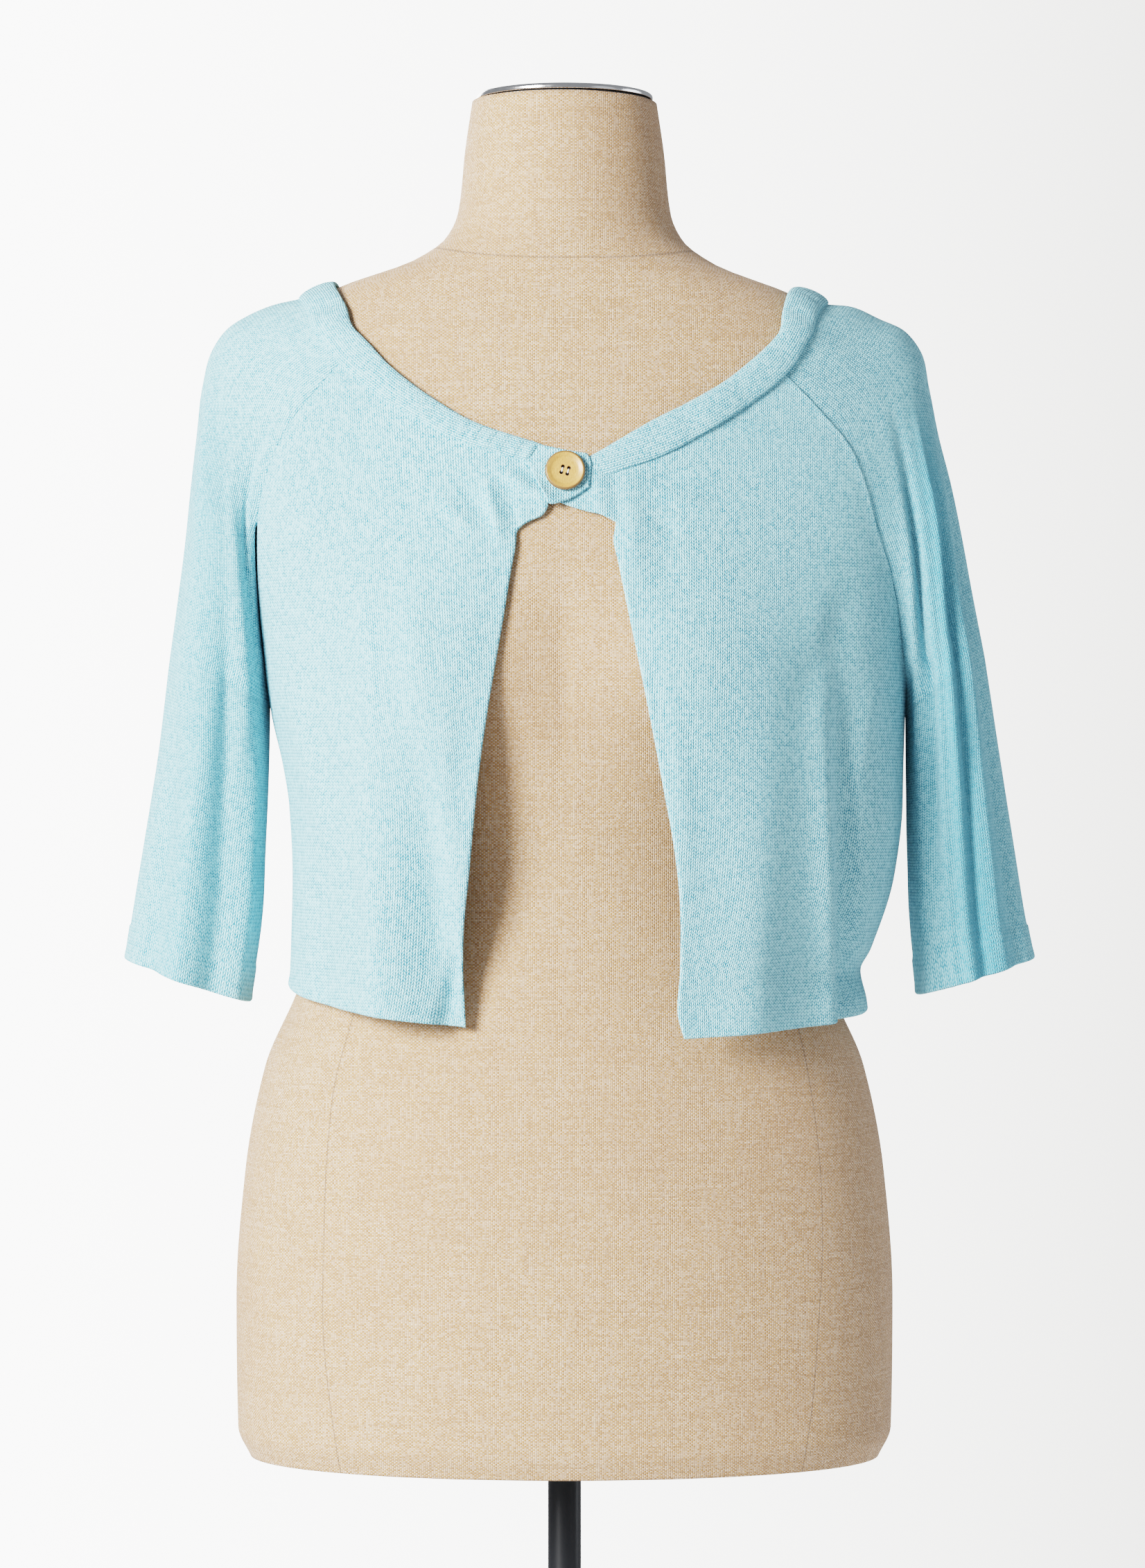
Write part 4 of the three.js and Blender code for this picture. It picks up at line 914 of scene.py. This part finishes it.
def rounded(corners, radius, steps=6):
    """A profile with each inner corner rounded: a quadratic curve between points a radius from the corner."""
    corners = np.asarray(corners, float)
    profile = [corners[:1]]
    t = np.linspace(0, 1, steps)[:, None]
    for before, corner, after in zip(corners, corners[1:], corners[2:]):
        reach_in = min(radius, np.linalg.norm(before - corner) / 2)
        reach_out = min(radius, np.linalg.norm(after - corner) / 2)
        start = corner + unit(before - corner) * reach_in
        end = corner + unit(after - corner) * reach_out
        profile.append(start * (1 - t) ** 2 + corner * 2 * t * (1 - t) + end * t ** 2)
    return np.concatenate(profile + [corners[-1:]])


def hardware():
    """The neck cap and its gasket, the pole with its socket, and the round base plate."""
    gasket_bottom = NECK_TOP + SEAM_GAP
    cap_bottom = gasket_bottom + GASKET_HEIGHT + SEAM_GAP
    cap_top = cap_bottom + CAP_HEIGHT
    lathe("neck_gasket_ring", rounded([
        [0, gasket_bottom], [CAP_RADIUS - 1, gasket_bottom],
        [CAP_RADIUS - 1, gasket_bottom + GASKET_HEIGHT], [0, gasket_bottom + GASKET_HEIGHT],
    ], 0.3), rubber(), 128, "neck_gasket")
    lathe("neck_cap_polished", rounded([
        [0, cap_bottom], [CAP_RADIUS - 0.3, cap_bottom], [CAP_RADIUS, cap_bottom + 0.5],
        [CAP_RADIUS, cap_top - 1.1], [CAP_RADIUS - 1.4, cap_top - 0.1], [CAP_RADIUS - 6, cap_top], [0, cap_top],
    ], 0.9), polished_metal(), 160, "neck_cap")
    socket_bottom = FORM_BOTTOM - SEAM_GAP - SOCKET_HEIGHT
    lathe("pole_socket_cup", rounded([
        [0, socket_bottom], [SOCKET_RADIUS * 0.6, socket_bottom], [SOCKET_RADIUS, socket_bottom + 5],
        [SOCKET_RADIUS, socket_bottom + SOCKET_HEIGHT], [0, socket_bottom + SOCKET_HEIGHT],
    ], 1.2), black_enamel(), 96, "pole_socket")
    pole_top = socket_bottom - SEAM_GAP
    lathe("pole_tube", rounded([
        [0, PLATE_HEIGHT + SEAM_GAP], [POLE_RADIUS, PLATE_HEIGHT + SEAM_GAP], [POLE_RADIUS, pole_top], [0, pole_top],
    ], 0.5), black_enamel(), 64, "pole")
    lathe("base_plate_round", rounded([
        [0, 0], [PLATE_RADIUS - 1, 0], [PLATE_RADIUS, 1], [PLATE_RADIUS, PLATE_HEIGHT - 3],
        [PLATE_RADIUS - 3, PLATE_HEIGHT], [0, PLATE_HEIGHT],
    ], 1.5), black_enamel(), 192, "base_plate")


def button_frame():
    """The button's seat on the tab and its three axes: across, up and out, turned as it is sewn."""
    turn = turn_at(BUTTON_X, BUTTON_Z, 1)
    seat, normal = cloth_point(turn, BUTTON_Z, TAB_LIFT + SEAM_GAP + 0.6)
    upright = Vector((0, 0, 1)).rotation_difference(Vector(normal))
    axes = upright.to_matrix() @ Matrix.Rotation(math.radians(BUTTON_TURN), 3, "Z")
    return seat, np.array(axes)


def button():
    """A dished disc turned from its profile, with four holes: the face sinks where a point is nearer to a
    hole's middle than the hole's radius."""
    rim, top = BUTTON_RADIUS, BUTTON_HEIGHT
    outline = rounded([
        [0, 0], [rim - 1.6, 0], [rim - 0.4, 0.6], [rim, 1.6], [rim - 0.3, top - 0.5], [rim - 1.1, top],
        [rim - 2, top - 0.25], [rim - 3.6, top - 1], [rim - 5.5, top - 1.25],
    ], 0.7, 8)
    face = np.linspace(rim - 5.6, 0, 90)
    dish = top - 1.25 - 0.06 * (1 - face / (rim - 5.5))
    profile = np.concatenate([outline[:-1], np.stack([face, dish], axis=-1)])
    angle = np.linspace(0, 2 * np.pi, 220, endpoint=False)
    x, y = profile[:, :1] * np.cos(angle), profile[:, :1] * np.sin(angle)
    z = np.broadcast_to(profile[:, 1:], x.shape).copy()
    to_hole = np.hypot(np.abs(x) - BUTTON_HOLE_OFFSET, np.abs(y) - BUTTON_HOLE_OFFSET)
    sunk = smooth(BUTTON_HOLE_RADIUS + 0.12, BUTTON_HOLE_RADIUS - 0.1, to_hole)
    on_face = (np.arange(len(profile)) >= len(outline) - 1)[:, None]
    z = z - on_face * sunk * (z - 0.35)
    seat, axes = button_frame()
    points = seat + np.stack([x, y, z], axis=-1) @ axes.T
    depth = np.broadcast_to(sunk * on_face, x.shape)
    marks = np.stack([x.ravel(), y.ravel(), depth.ravel()], axis=-1)
    piece = closed_rings("button_bamboo", points, button_finish(), {"grain": marks})
    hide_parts("button")
    return piece


def rod(start, end, radius, bow, rings=14, sides=10):
    """A thread from start to end: circles along a line that bows out by a sine, rounded off over the last
    tenth at each end by the root of 1 minus a square."""
    t = np.linspace(0, 1, rings)
    round_end = np.sqrt(1 - np.clip((np.abs(2 * t - 1) - 0.8) / 0.2, 0, 1) ** 2)
    path = mix(start, end, t[:, None]) + bow * np.sin(np.pi * t)[:, None]
    ahead = unit(np.gradient(path, axis=0))
    side = unit(np.cross(ahead, np.array([0.31, 0.87, 0.38])))
    lift = np.cross(ahead, side)
    angle = np.linspace(0, 2 * np.pi, sides, endpoint=False)[:, None]
    ring = np.cos(angle) * side[:, None] + np.sin(angle) * lift[:, None]
    return path[:, None] + ring * radius * round_end[:, None, None]


def joined_rods(name, rods, finish):
    """Many threads as one mesh."""
    rings, sides = rods[0].shape[:2]
    ids = np.arange(rings * sides).reshape(rings, sides)
    one = quads(np.concatenate([ids, ids[:, :1]], axis=1))
    one = outward(rods[0].reshape(-1, 3) - rods[0].mean(axis=(0, 1)), one)
    faces = np.concatenate([one + k * rings * sides for k in range(len(rods))])
    points = np.concatenate([r.reshape(-1, 3) for r in rods])
    piece = new_piece(name, points, faces, [finish])
    welded = bmesh.new()
    welded.from_mesh(piece.data)
    bmesh.ops.remove_doubles(welded, verts=welded.verts, dist=1e-7)
    welded.to_mesh(piece.data)
    welded.free()
    return piece


def button_thread():
    """Two loops of thread on each side of the button, from the lower hole to the upper one."""
    seat, axes = button_frame()
    half, face_z = BUTTON_HOLE_OFFSET, BUTTON_HEIGHT - 1.35
    rods = []
    for across in (-half, half):
        for shift in (-0.26, 0.26):
            near = half * 0.85
            ends = np.array([[across + shift, -near, face_z - 0.9], [across + shift * 0.4, near, face_z - 0.9]])
            ends = seat + ends @ axes.T
            rods.append(rod(ends[0], ends[1], 0.2, axes[:, 2] * 1.25))
    return joined_rods("button_thread", rods, thread())


# The form's own seams: how far across the long seams of the front lie, to the wearer's right and left
PRINCESS_SEAMS = table("height right left", [
    [1300, 150, 150],
    [1205, 128, 128],
    [1095, 108, 110],
    [970, 106, 112],
    [890, 124, 136],
    [848, 135, 145],
    [809, 139, 150],
    [753, 141, 152],
    [700, 141, 149],
    [661, 137, 146],
    [620, 131, 140],
])
NECK_SEAM = {"front": 1336.5, "side_rise": 12}


def form_body():
    """The form: level rings from the neck to the hips, closed flat at the top and underneath. Its threads
    are measured along each ring from the centre front, and by their height."""
    heights = np.unique(np.concatenate([np.linspace(640, NECK_TOP, 190), np.linspace(FORM_BOTTOM, 640, 14)]))[::-1]
    turn = np.linspace(-180, 180, 257)[:-1]
    points = form_point(turn[None, :], np.broadcast_to(heights[:, None], (len(heights), len(turn))))
    ring = np.linalg.norm(np.diff(points, axis=1, append=points[:, :1]), axis=-1)
    across = np.pad(np.cumsum(ring, axis=1), ((0, 0), (1, 0)))[:, :-1]
    across = across - across[:, 128:129]
    seam = Curve(PRINCESS_SEAMS, PRINCESS_SEAMS["height"])(heights)
    x, angle = points[..., 0], np.radians(turn)
    seam_x = np.where(x < 0, seam["right"][:, None], seam["left"][:, None])
    slant = np.sqrt(np.maximum(1 - (seam_x / 200) ** 2, 0.2))
    princess = (np.abs(x) - seam_x) / slant
    neck = heights[:, None] - NECK_SEAM["front"] - NECK_SEAM["side_rise"] * np.sin(angle) ** 2
    side = points[..., 1] + 0 * x
    centre = np.array([[[0, 0, 1]]]) * np.array([NECK_TOP, FORM_BOTTOM])[:, None, None]
    cap_rings = np.stack([np.broadcast_to(c, (1, len(turn), 3)) for c in centre])
    top = mix(cap_rings[0], points[:1], 0.5)
    bottom = mix(cap_rings[1], points[-1:], 0.5)
    all_points = np.concatenate([cap_rings[0], top, points, bottom, cap_rings[1]])

    def padded(values):
        return np.concatenate([values[:1], values[:1], values, values[-1:], values[-1:]]).ravel()

    grain = np.stack([padded(across), padded(points[..., 2]), padded(x)], axis=-1)
    seams = np.stack([padded(princess), padded(neck), padded(side)], axis=-1)
    piece = closed_rings("dress_form", all_points, linen(), {"grain": grain, "seams": seams})
    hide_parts("torso")
    return piece


class Value:
    """A socket's number in a shader: each operator adds one Math node."""

    def __init__(self, finish, socket):
        self.finish, self.socket = finish, socket

    def maths(self, operation, *others):
        return self.finish.maths(operation, self, *others)

    def __add__(self, other):
        return self.maths("ADD", other)

    def __sub__(self, other):
        return self.maths("SUBTRACT", other)

    def __mul__(self, other):
        return self.maths("MULTIPLY", other)

    def __truediv__(self, other):
        return self.maths("DIVIDE", other)

    def __pow__(self, other):
        return self.maths("POWER", other)

    def __neg__(self):
        return self.maths("MULTIPLY", -1)

    def __abs__(self):
        return self.maths("ABSOLUTE")

    def __rsub__(self, other):
        return self.finish.maths("SUBTRACT", other, self)

    __radd__, __rmul__ = __add__, __mul__

    def fract(self):
        return self.maths("FRACT")

    def floor(self):
        return self.maths("FLOOR")

    def sine(self):
        return self.maths("SINE")

    def cosine(self):
        return self.maths("COSINE")

    def clamped(self):
        return self.maths("MAXIMUM", 0).maths("MINIMUM", 1)

    def bigger(self, other):
        return self.maths("MAXIMUM", other)

    def within(self, start, end):
        """0 at start and 1 at end, with level ends."""
        settings = {"interpolation_type": "SMOOTHSTEP", "clamp": True}
        return self.finish.node("ShaderNodeMapRange", settings, {"Value": self, "From Min": start, "From Max": end})


class Finish:
    """One material: its shader, whose sockets are set or fed by name, and one way to add any other node."""

    def __init__(self, name, sockets):
        self.material = bpy.data.materials.new(name)
        self.material.use_nodes = True
        self.tree = self.material.node_tree
        self.shader = self.tree.nodes["Principled BSDF"]
        self.feed(sockets)

    def feed(self, sockets, node=None):
        for key, value in sockets.items():
            socket = (node or self.shader).inputs[key]
            if isinstance(value, Value):
                self.tree.links.new(value.socket, socket)
            else:
                socket.default_value = value

    def node(self, kind, settings=None, sockets=None, output=0):
        node = self.tree.nodes.new(kind)
        for key, value in (settings or {}).items():
            if key == "stops":
                ramp = node.color_ramp.elements
                while len(ramp) < len(value):
                    ramp.new(1)
                for stop, (place, colour) in zip(ramp, value):
                    stop.position, stop.color = place, (*colour, 1)
            else:
                setattr(node, key, value)
        self.feed(sockets or {}, node)
        return Value(self, node.outputs[output])

    def maths(self, operation, *values):
        return self.node("ShaderNodeMath", {"operation": operation}, dict(enumerate(values)))

    def parts(self, label):
        """The three numbers of a vector attribute."""
        vector = self.node("ShaderNodeAttribute", {"attribute_name": label}, output=1)
        return [self.node("ShaderNodeSeparateXYZ", None, {0: vector}, k) for k in range(3)]

    def place(self):
        return self.node("ShaderNodeTexCoord", output=3)

    def vector(self, x, y, z=0):
        return self.node("ShaderNodeCombineXYZ", None, {0: x, 1: y, 2: z})

    def noise(self, vector, scale, detail=2, roughness=0.5):
        sockets = {"Vector": vector, "Scale": scale, "Detail": detail, "Roughness": roughness}
        return self.node("ShaderNodeTexNoise", None, sockets)

    def chance(self, x, y):
        """A random number from 0 to 1 for each whole-numbered cell."""
        vector = self.vector(x.floor(), y.floor())
        return self.node("ShaderNodeTexWhiteNoise", {"noise_dimensions": "2D"}, {"Vector": vector})

    def blend(self, factor, first, second, how="MIX"):
        """Two colours mixed, from the first to the second as the factor goes from 0 to 1."""
        colours = [c if isinstance(c, Value) else (*c, 1) for c in (first, second)]
        settings = {"data_type": "RGBA", "blend_type": how, "clamp_factor": True}
        return self.node("ShaderNodeMix", settings, {0: factor, 6: colours[0], 7: colours[1]}, 2)

    def relief(self, height, millimetres, strength=1):
        sockets = {"Height": height, "Distance": millimetres * MM, "Strength": strength}
        self.feed({"Normal": self.node("ShaderNodeBump", None, sockets)})


made = {}


def once(make):
    """A material maker that makes its material the first time only."""
    def maker():
        if make.__name__ not in made:
            made[make.__name__] = make()
        return made[make.__name__]
    return maker


@once
def knit():
    """Fine jersey. Each stitch is two legs beside a wale's middle, crowned as 1 - (4 (|f| - 1/4)) squared, and
    the courses run as a cosine whose phase leans with |f|, which draws the stitches' Vs."""
    finish = Finish("aqua_jersey", {"Roughness": 0.9, "Sheen Weight": 0.08, "Sheen Roughness": 0.5})
    finish.feed({"Sheen Tint": (0.86, 0.96, 1, 1), "Specular IOR Level": 0.2})
    across, down, painted_shade = finish.parts("grain")
    place = finish.place()
    wander = finish.noise(place, 45, 2) - 0.5
    f = abs((across * (1 / WALE) + wander * 0.4).fract() - 0.5)
    leg = 1 - ((f - 0.25) * 4) ** 2
    lean = (down * (1 / COURSE) + f * 1.5 + wander * 0.4) * (2 * math.pi)
    stitch = leg * (lean.cosine() * 0.38 + 0.62)
    fibre = finish.noise(place, 700, 3, 0.7)
    heather = finish.noise(finish.vector(across * 0.9, down * 0.3, 0), 0.9, 2, 0.6)
    cloud = finish.noise(place, 9, 3, 0.55)
    tuft = finish.chance(across * (2 / WALE), down * (1 / COURSE))
    # The colour follows the stitches' relief: darker in the gaps between the legs as painted shade, with the yarn's
    # own fibre, heather and tuft tone mixed in
    depth = (stitch * 1.2 + fibre * 0.7 + heather * 0.4 + tuft * 0.4 - 0.64).clamped()
    colour = finish.blend(depth, (0.03, 0.20, 0.31), (0.53, 0.89, 0.97))
    colour = finish.blend(cloud.within(0.35, 0.7) * 0.12, colour, (0.33, 0.64, 0.74))
    # Painted shade: the knit is darkened towards a deep blue by the share in the grain's third number
    colour = finish.blend(painted_shade * 0.7, colour, (0.08, 0.33, 0.46))
    finish.feed({"Base Color": colour})
    finish.relief(stitch + fibre * 0.35, 0.55, 1)
    return finish.material


@once
def linen():
    """Coarse plain weave. A thread is on top where the sum of the two threads' numbers is even; it is crowned
    by a sine across itself and along its float. Now and then a thread is thick and pale for a while: a slub."""
    finish = Finish("linen_canvas", {"Roughness": 0.64, "Sheen Weight": 0.12, "Sheen Roughness": 0.4})
    finish.feed({"Specular IOR Level": 0.5})
    across, down, x = finish.parts("grain")
    princess, neck, side = finish.parts("seams")
    place = finish.place()
    wander = finish.noise(place, 22, 2) - 0.5
    u = across * (1 / UPRIGHT_THREAD) + wander * 0.8
    v = down * (1 / LEVEL_THREAD) + wander * 0.8
    upright, level = u.floor(), v.floor()
    fu, fv = u.fract() * math.pi, v.fract() * math.pi
    on_top = ((upright + level) * 0.5).fract() * 2
    on_top = on_top.within(0.3, 0.7)
    hump = on_top * (fv.sine() * 0.6 + 0.4) * fu.sine() + (1 - on_top) * (fu.sine() * 0.6 + 0.4) * fv.sine()
    level_slub = finish.noise(finish.vector(across * 0.05, level * 7.31, 3.7), 1, 0).within(0.68, 0.85) * 0.6
    upright_slub = finish.noise(finish.vector(upright * 5.17, down * 0.045, 9.1), 1, 0).within(0.7, 0.84)
    tone = finish.noise(finish.vector(across * 0.03, level * 3.3, 1.3), 1, 1) - 0.5
    upright_tone = finish.noise(finish.vector(upright * 2.9, down * 0.03, 5.1), 1, 1) - 0.5
    golden = finish.blend((upright_tone * 1.6 + 0.5).clamped(), (0.38, 0.185, 0.045), (0.72, 0.40, 0.13))
    cream = finish.blend((tone * 1.8 + 0.5).clamped(), (0.50, 0.36, 0.27), (0.93, 0.74, 0.60))
    fleck = finish.chance(u, v)
    colour = finish.blend(on_top, cream, golden)
    colour = finish.blend((fleck - 0.45).clamped() * 0.9, colour, (0.96, 0.83, 0.67))
    colour = finish.blend((0.3 - fleck).clamped() * 1.3, colour, (0.31, 0.17, 0.06))
    # Painted shade in the weave's hollows: darker where the threads dip between their crowns
    colour = finish.blend((1 - hump).clamped() ** 2 * 0.85, colour, (0.17, 0.11, 0.06))
    colour = finish.blend(level_slub * (1 - on_top) * 0.8, colour, (0.92, 0.85, 0.74))
    colour = finish.blend(upright_slub * on_top * 0.5, colour, (0.74, 0.62, 0.44))
    cloud = finish.noise(place, 6, 3, 0.6)
    colour = finish.blend(cloud.within(0.3, 0.75) * 0.18 + 0.24, colour, (0.42, 0.23, 0.13))

    # The seams are thin grooves with sunken stitches, painted darker in the grooves and at the stitches as painted
    # shade; the long ones are at the front and back alike
    long_seam = abs(princess)
    dots = (down * (1 / 2.6)).fract().within(0.25, 0.4) * (1 - (down * (1 / 2.6)).fract().within(0.75, 0.9))
    neck_dots = (across * (1 / 2.2)).fract().within(0.3, 0.45) * (1 - (across * (1 / 2.2)).fract().within(0.8, 0.95))
    side_seam = abs(side)
    groove = long_seam.within(0.9, 0.1).bigger(side_seam.within(1.0, 0.1)).bigger(abs(neck).within(0.9, 0.1))
    sunk = long_seam.within(0.6, 0.3) * dots + abs(neck).within(0.7, 0.3) * neck_dots + side_seam.within(0.6, 0.3) * dots
    colour = finish.blend(groove * 0.28 + sunk.clamped() * 0.35, colour, (0.15, 0.10, 0.065))
    finish.feed({"Base Color": colour})
    relief = hump + level_slub * (1 - on_top) * 0.6 + upright_slub * on_top * 0.5 - groove * 1.1
    finish.relief(relief, 0.34, 0.9)
    return finish.material


@once
def polished_metal():
    finish = Finish("polished_cap", {"Metallic": 1, "Base Color": (0.62, 0.62, 0.63, 1)})
    streak = finish.noise(finish.place(), 260, 3)
    finish.feed({"Roughness": streak.within(0.3, 0.8) * 0.1 + 0.13})
    return finish.material


@once
def rubber():
    finish = Finish("black_gasket", {"Base Color": (0.012, 0.012, 0.013, 1)})
    grit = finish.noise(finish.place(), 1500, 2)
    finish.feed({"Roughness": grit * 0.2 + 0.6})
    finish.relief(grit, 0.05)
    return finish.material


@once
def black_enamel():
    finish = Finish("black_enamel", {"Metallic": 0.2})
    peel = finish.noise(finish.place(), 420, 2)
    smudge = finish.noise(finish.place(), 18, 3)
    finish.feed({"Base Color": finish.blend(smudge, (0.010, 0.011, 0.013), (0.022, 0.024, 0.028))})
    finish.feed({"Roughness": smudge * 0.16 + 0.26})
    finish.relief(peel, 0.03)
    return finish.material


@once
def button_finish():
    """Bamboo-coloured with a brown rim: the ring's place is the distance from the middle, and the grain is
    noise drawn out along one diameter."""
    finish = Finish("bamboo_button", {"Coat Roughness": 0.25, "Coat Weight": 0.3})
    x, y, hole = finish.parts("grain")
    radius = (x * x + y * y) ** 0.5
    streak = finish.noise(finish.vector(x * 2.6, y * 0.35, 0), 1.3, 4, 0.6)
    mottle = finish.noise(finish.vector(x, y, 0), 1.6, 3)
    face = finish.blend(streak.within(0.25, 0.75), (0.37, 0.19, 0.055), (0.60, 0.35, 0.12))
    face = finish.blend(mottle.within(0.5, 0.8) * 0.4, face, (0.42, 0.25, 0.08))
    rim = (radius + mottle * 0.5).within(BUTTON_RADIUS - 1.6, BUTTON_RADIUS - 0.5)
    colour = finish.blend(rim * 0.85, face, (0.13, 0.065, 0.018))
    ring = abs(radius - (BUTTON_RADIUS - 3.4)).within(0.5, 0)
    colour = finish.blend(ring * 0.3, colour, (0.27, 0.17, 0.05))
    # Painted shade in the four holes: they are painted near black
    colour = finish.blend(hole, colour, (0.05, 0.03, 0.015))
    finish.feed({"Base Color": colour, "Roughness": mottle * 0.2 + 0.34})
    finish.relief(streak, 0.05)
    return finish.material


@once
def thread():
    finish = Finish("sewing_thread", {"Roughness": 0.7, "Sheen Weight": 0.3})
    twist = finish.noise(finish.place(), 2600, 2)
    finish.feed({"Base Color": finish.blend(twist, (0.50, 0.57, 0.60), (0.80, 0.83, 0.84))})
    finish.relief(twist, 0.08)
    return finish.material


@once
def floor_paint():
    finish = Finish("pale_floor", {"Roughness": 0.75})
    patch = finish.noise(finish.place(), 1.2, 3)
    finish.feed({"Base Color": finish.blend(patch, (0.80, 0.80, 0.81), (0.84, 0.84, 0.845))})
    return finish.material


# Studio
def floor():
    """A pale disc under the base plate, small enough to stay below the picture."""
    angle = np.linspace(0, 2 * np.pi, 97)[:-1]
    mesh = bpy.data.meshes.new("floor")
    ring = np.stack([2.1 * np.cos(angle), 2.1 * np.sin(angle), np.full_like(angle, -0.0005)], axis=-1)
    mesh.from_pydata(ring.tolist(), [], [list(range(len(ring)))])
    mesh.materials.append(floor_paint())
    disc = bpy.data.objects.new("floor", mesh)
    bpy.context.scene.collection.objects.link(disc)


def area_light(name, place, target, size, watts, colour=(1, 1, 1)):
    light = bpy.data.lights.new(name, "AREA")
    light.shape, light.size, light.energy, light.color = "DISK", size, watts, colour
    lamp = bpy.data.objects.new(name, light)
    lamp.location = place
    lamp.rotation_euler = (Vector(target) - Vector(place)).to_track_quat("-Z", "Y").to_euler()
    bpy.context.scene.collection.objects.link(lamp)


# The backdrop that the camera sees, at the picture's left and at its right: painted light, brighter at the left and
# dimmer at the right
BACKDROP = [[0.78, 0.78, 0.77], [0.29, 0.288, 0.278]]


def studio():
    """A soft key from the picture's left, a weak fill from its right, and a pale surround. The surround looks
    brighter than it lights, so that the backdrop is near white while the right side still falls darker."""
    area_light("key", (-2.35, -2.5, 2.0), (0, 0, 1.05), 1.5, 230, (1, 0.985, 0.96))
    area_light("fill", (2.6, -2.0, 1.3), (0, 0, 1.0), 2.0, 3, (0.95, 0.975, 1))
    area_light("back", (-1.2, 2.4, 2.0), (0, 0, 1.1), 1.6, 26)
    area_light("rim", (2.6, 0.4, 1.2), (0.2, 0, 1.05), 1.8, 13, (0.93, 0.97, 1))
    world = bpy.data.worlds.new("studio_air")
    world.use_nodes = True
    nodes, links = world.node_tree.nodes, world.node_tree.links
    light = nodes["Background"]
    light.inputs["Color"].default_value = (0.93, 0.96, 1, 1)
    light.inputs["Strength"].default_value = 0.26
    seen, towards = nodes.new("ShaderNodeBackground"), nodes.new("ShaderNodeTexCoord")
    seen.inputs["Strength"].default_value = 4
    split, graded = nodes.new("ShaderNodeSeparateXYZ"), nodes.new("ShaderNodeMapRange")
    # Painted light on the backdrop: it falls off from the picture's left to its right
    backdrop_falloff = nodes.new("ShaderNodeValToRGB")
    for stop, colour in zip(backdrop_falloff.color_ramp.elements, BACKDROP):
        stop.color = (*colour, 1)
    graded.inputs["From Min"].default_value, graded.inputs["From Max"].default_value = -0.12, 0.14
    links.new(towards.outputs["Generated"], split.inputs[0])
    links.new(split.outputs["X"], graded.inputs["Value"])
    links.new(graded.outputs[0], backdrop_falloff.inputs[0])
    links.new(backdrop_falloff.outputs[0], seen.inputs["Color"])
    rays, choice = nodes.new("ShaderNodeLightPath"), nodes.new("ShaderNodeMixShader")
    links.new(rays.outputs["Is Camera Ray"], choice.inputs[0])
    links.new(light.outputs[0], choice.inputs[1])
    links.new(seen.outputs[0], choice.inputs[2])
    links.new(choice.outputs[0], nodes["World Output"].inputs["Surface"])
    bpy.context.scene.world = world
    view = bpy.context.scene.view_settings
    view.view_transform, view.look, view.exposure = "Filmic", "High Contrast", 0.42


def camera():
    """Level, 2.8 m in front of the pole and just beside it, framing the neck cap down to the pole's top."""
    lens = bpy.data.cameras.new("camera")
    lens.lens = 106.05
    eye = bpy.data.objects.new("camera", lens)
    eye.location = (0.00483, -2.8, 1.025)
    eye.rotation_euler = (math.radians(90), 0, 0)
    bpy.context.scene.collection.objects.link(eye)
    bpy.context.scene.camera = eye


camera()
studio()
floor()
form_body()
hardware()
front_panel("right")
front_panel("left")
back_panel()
sleeve("right")
sleeve("left")
neckband()
strip("tab", TAB_ROWS, 0.5, {})
strip("underlap", UNDERLAP_ROWS, 0, {})
button()
button_thread()
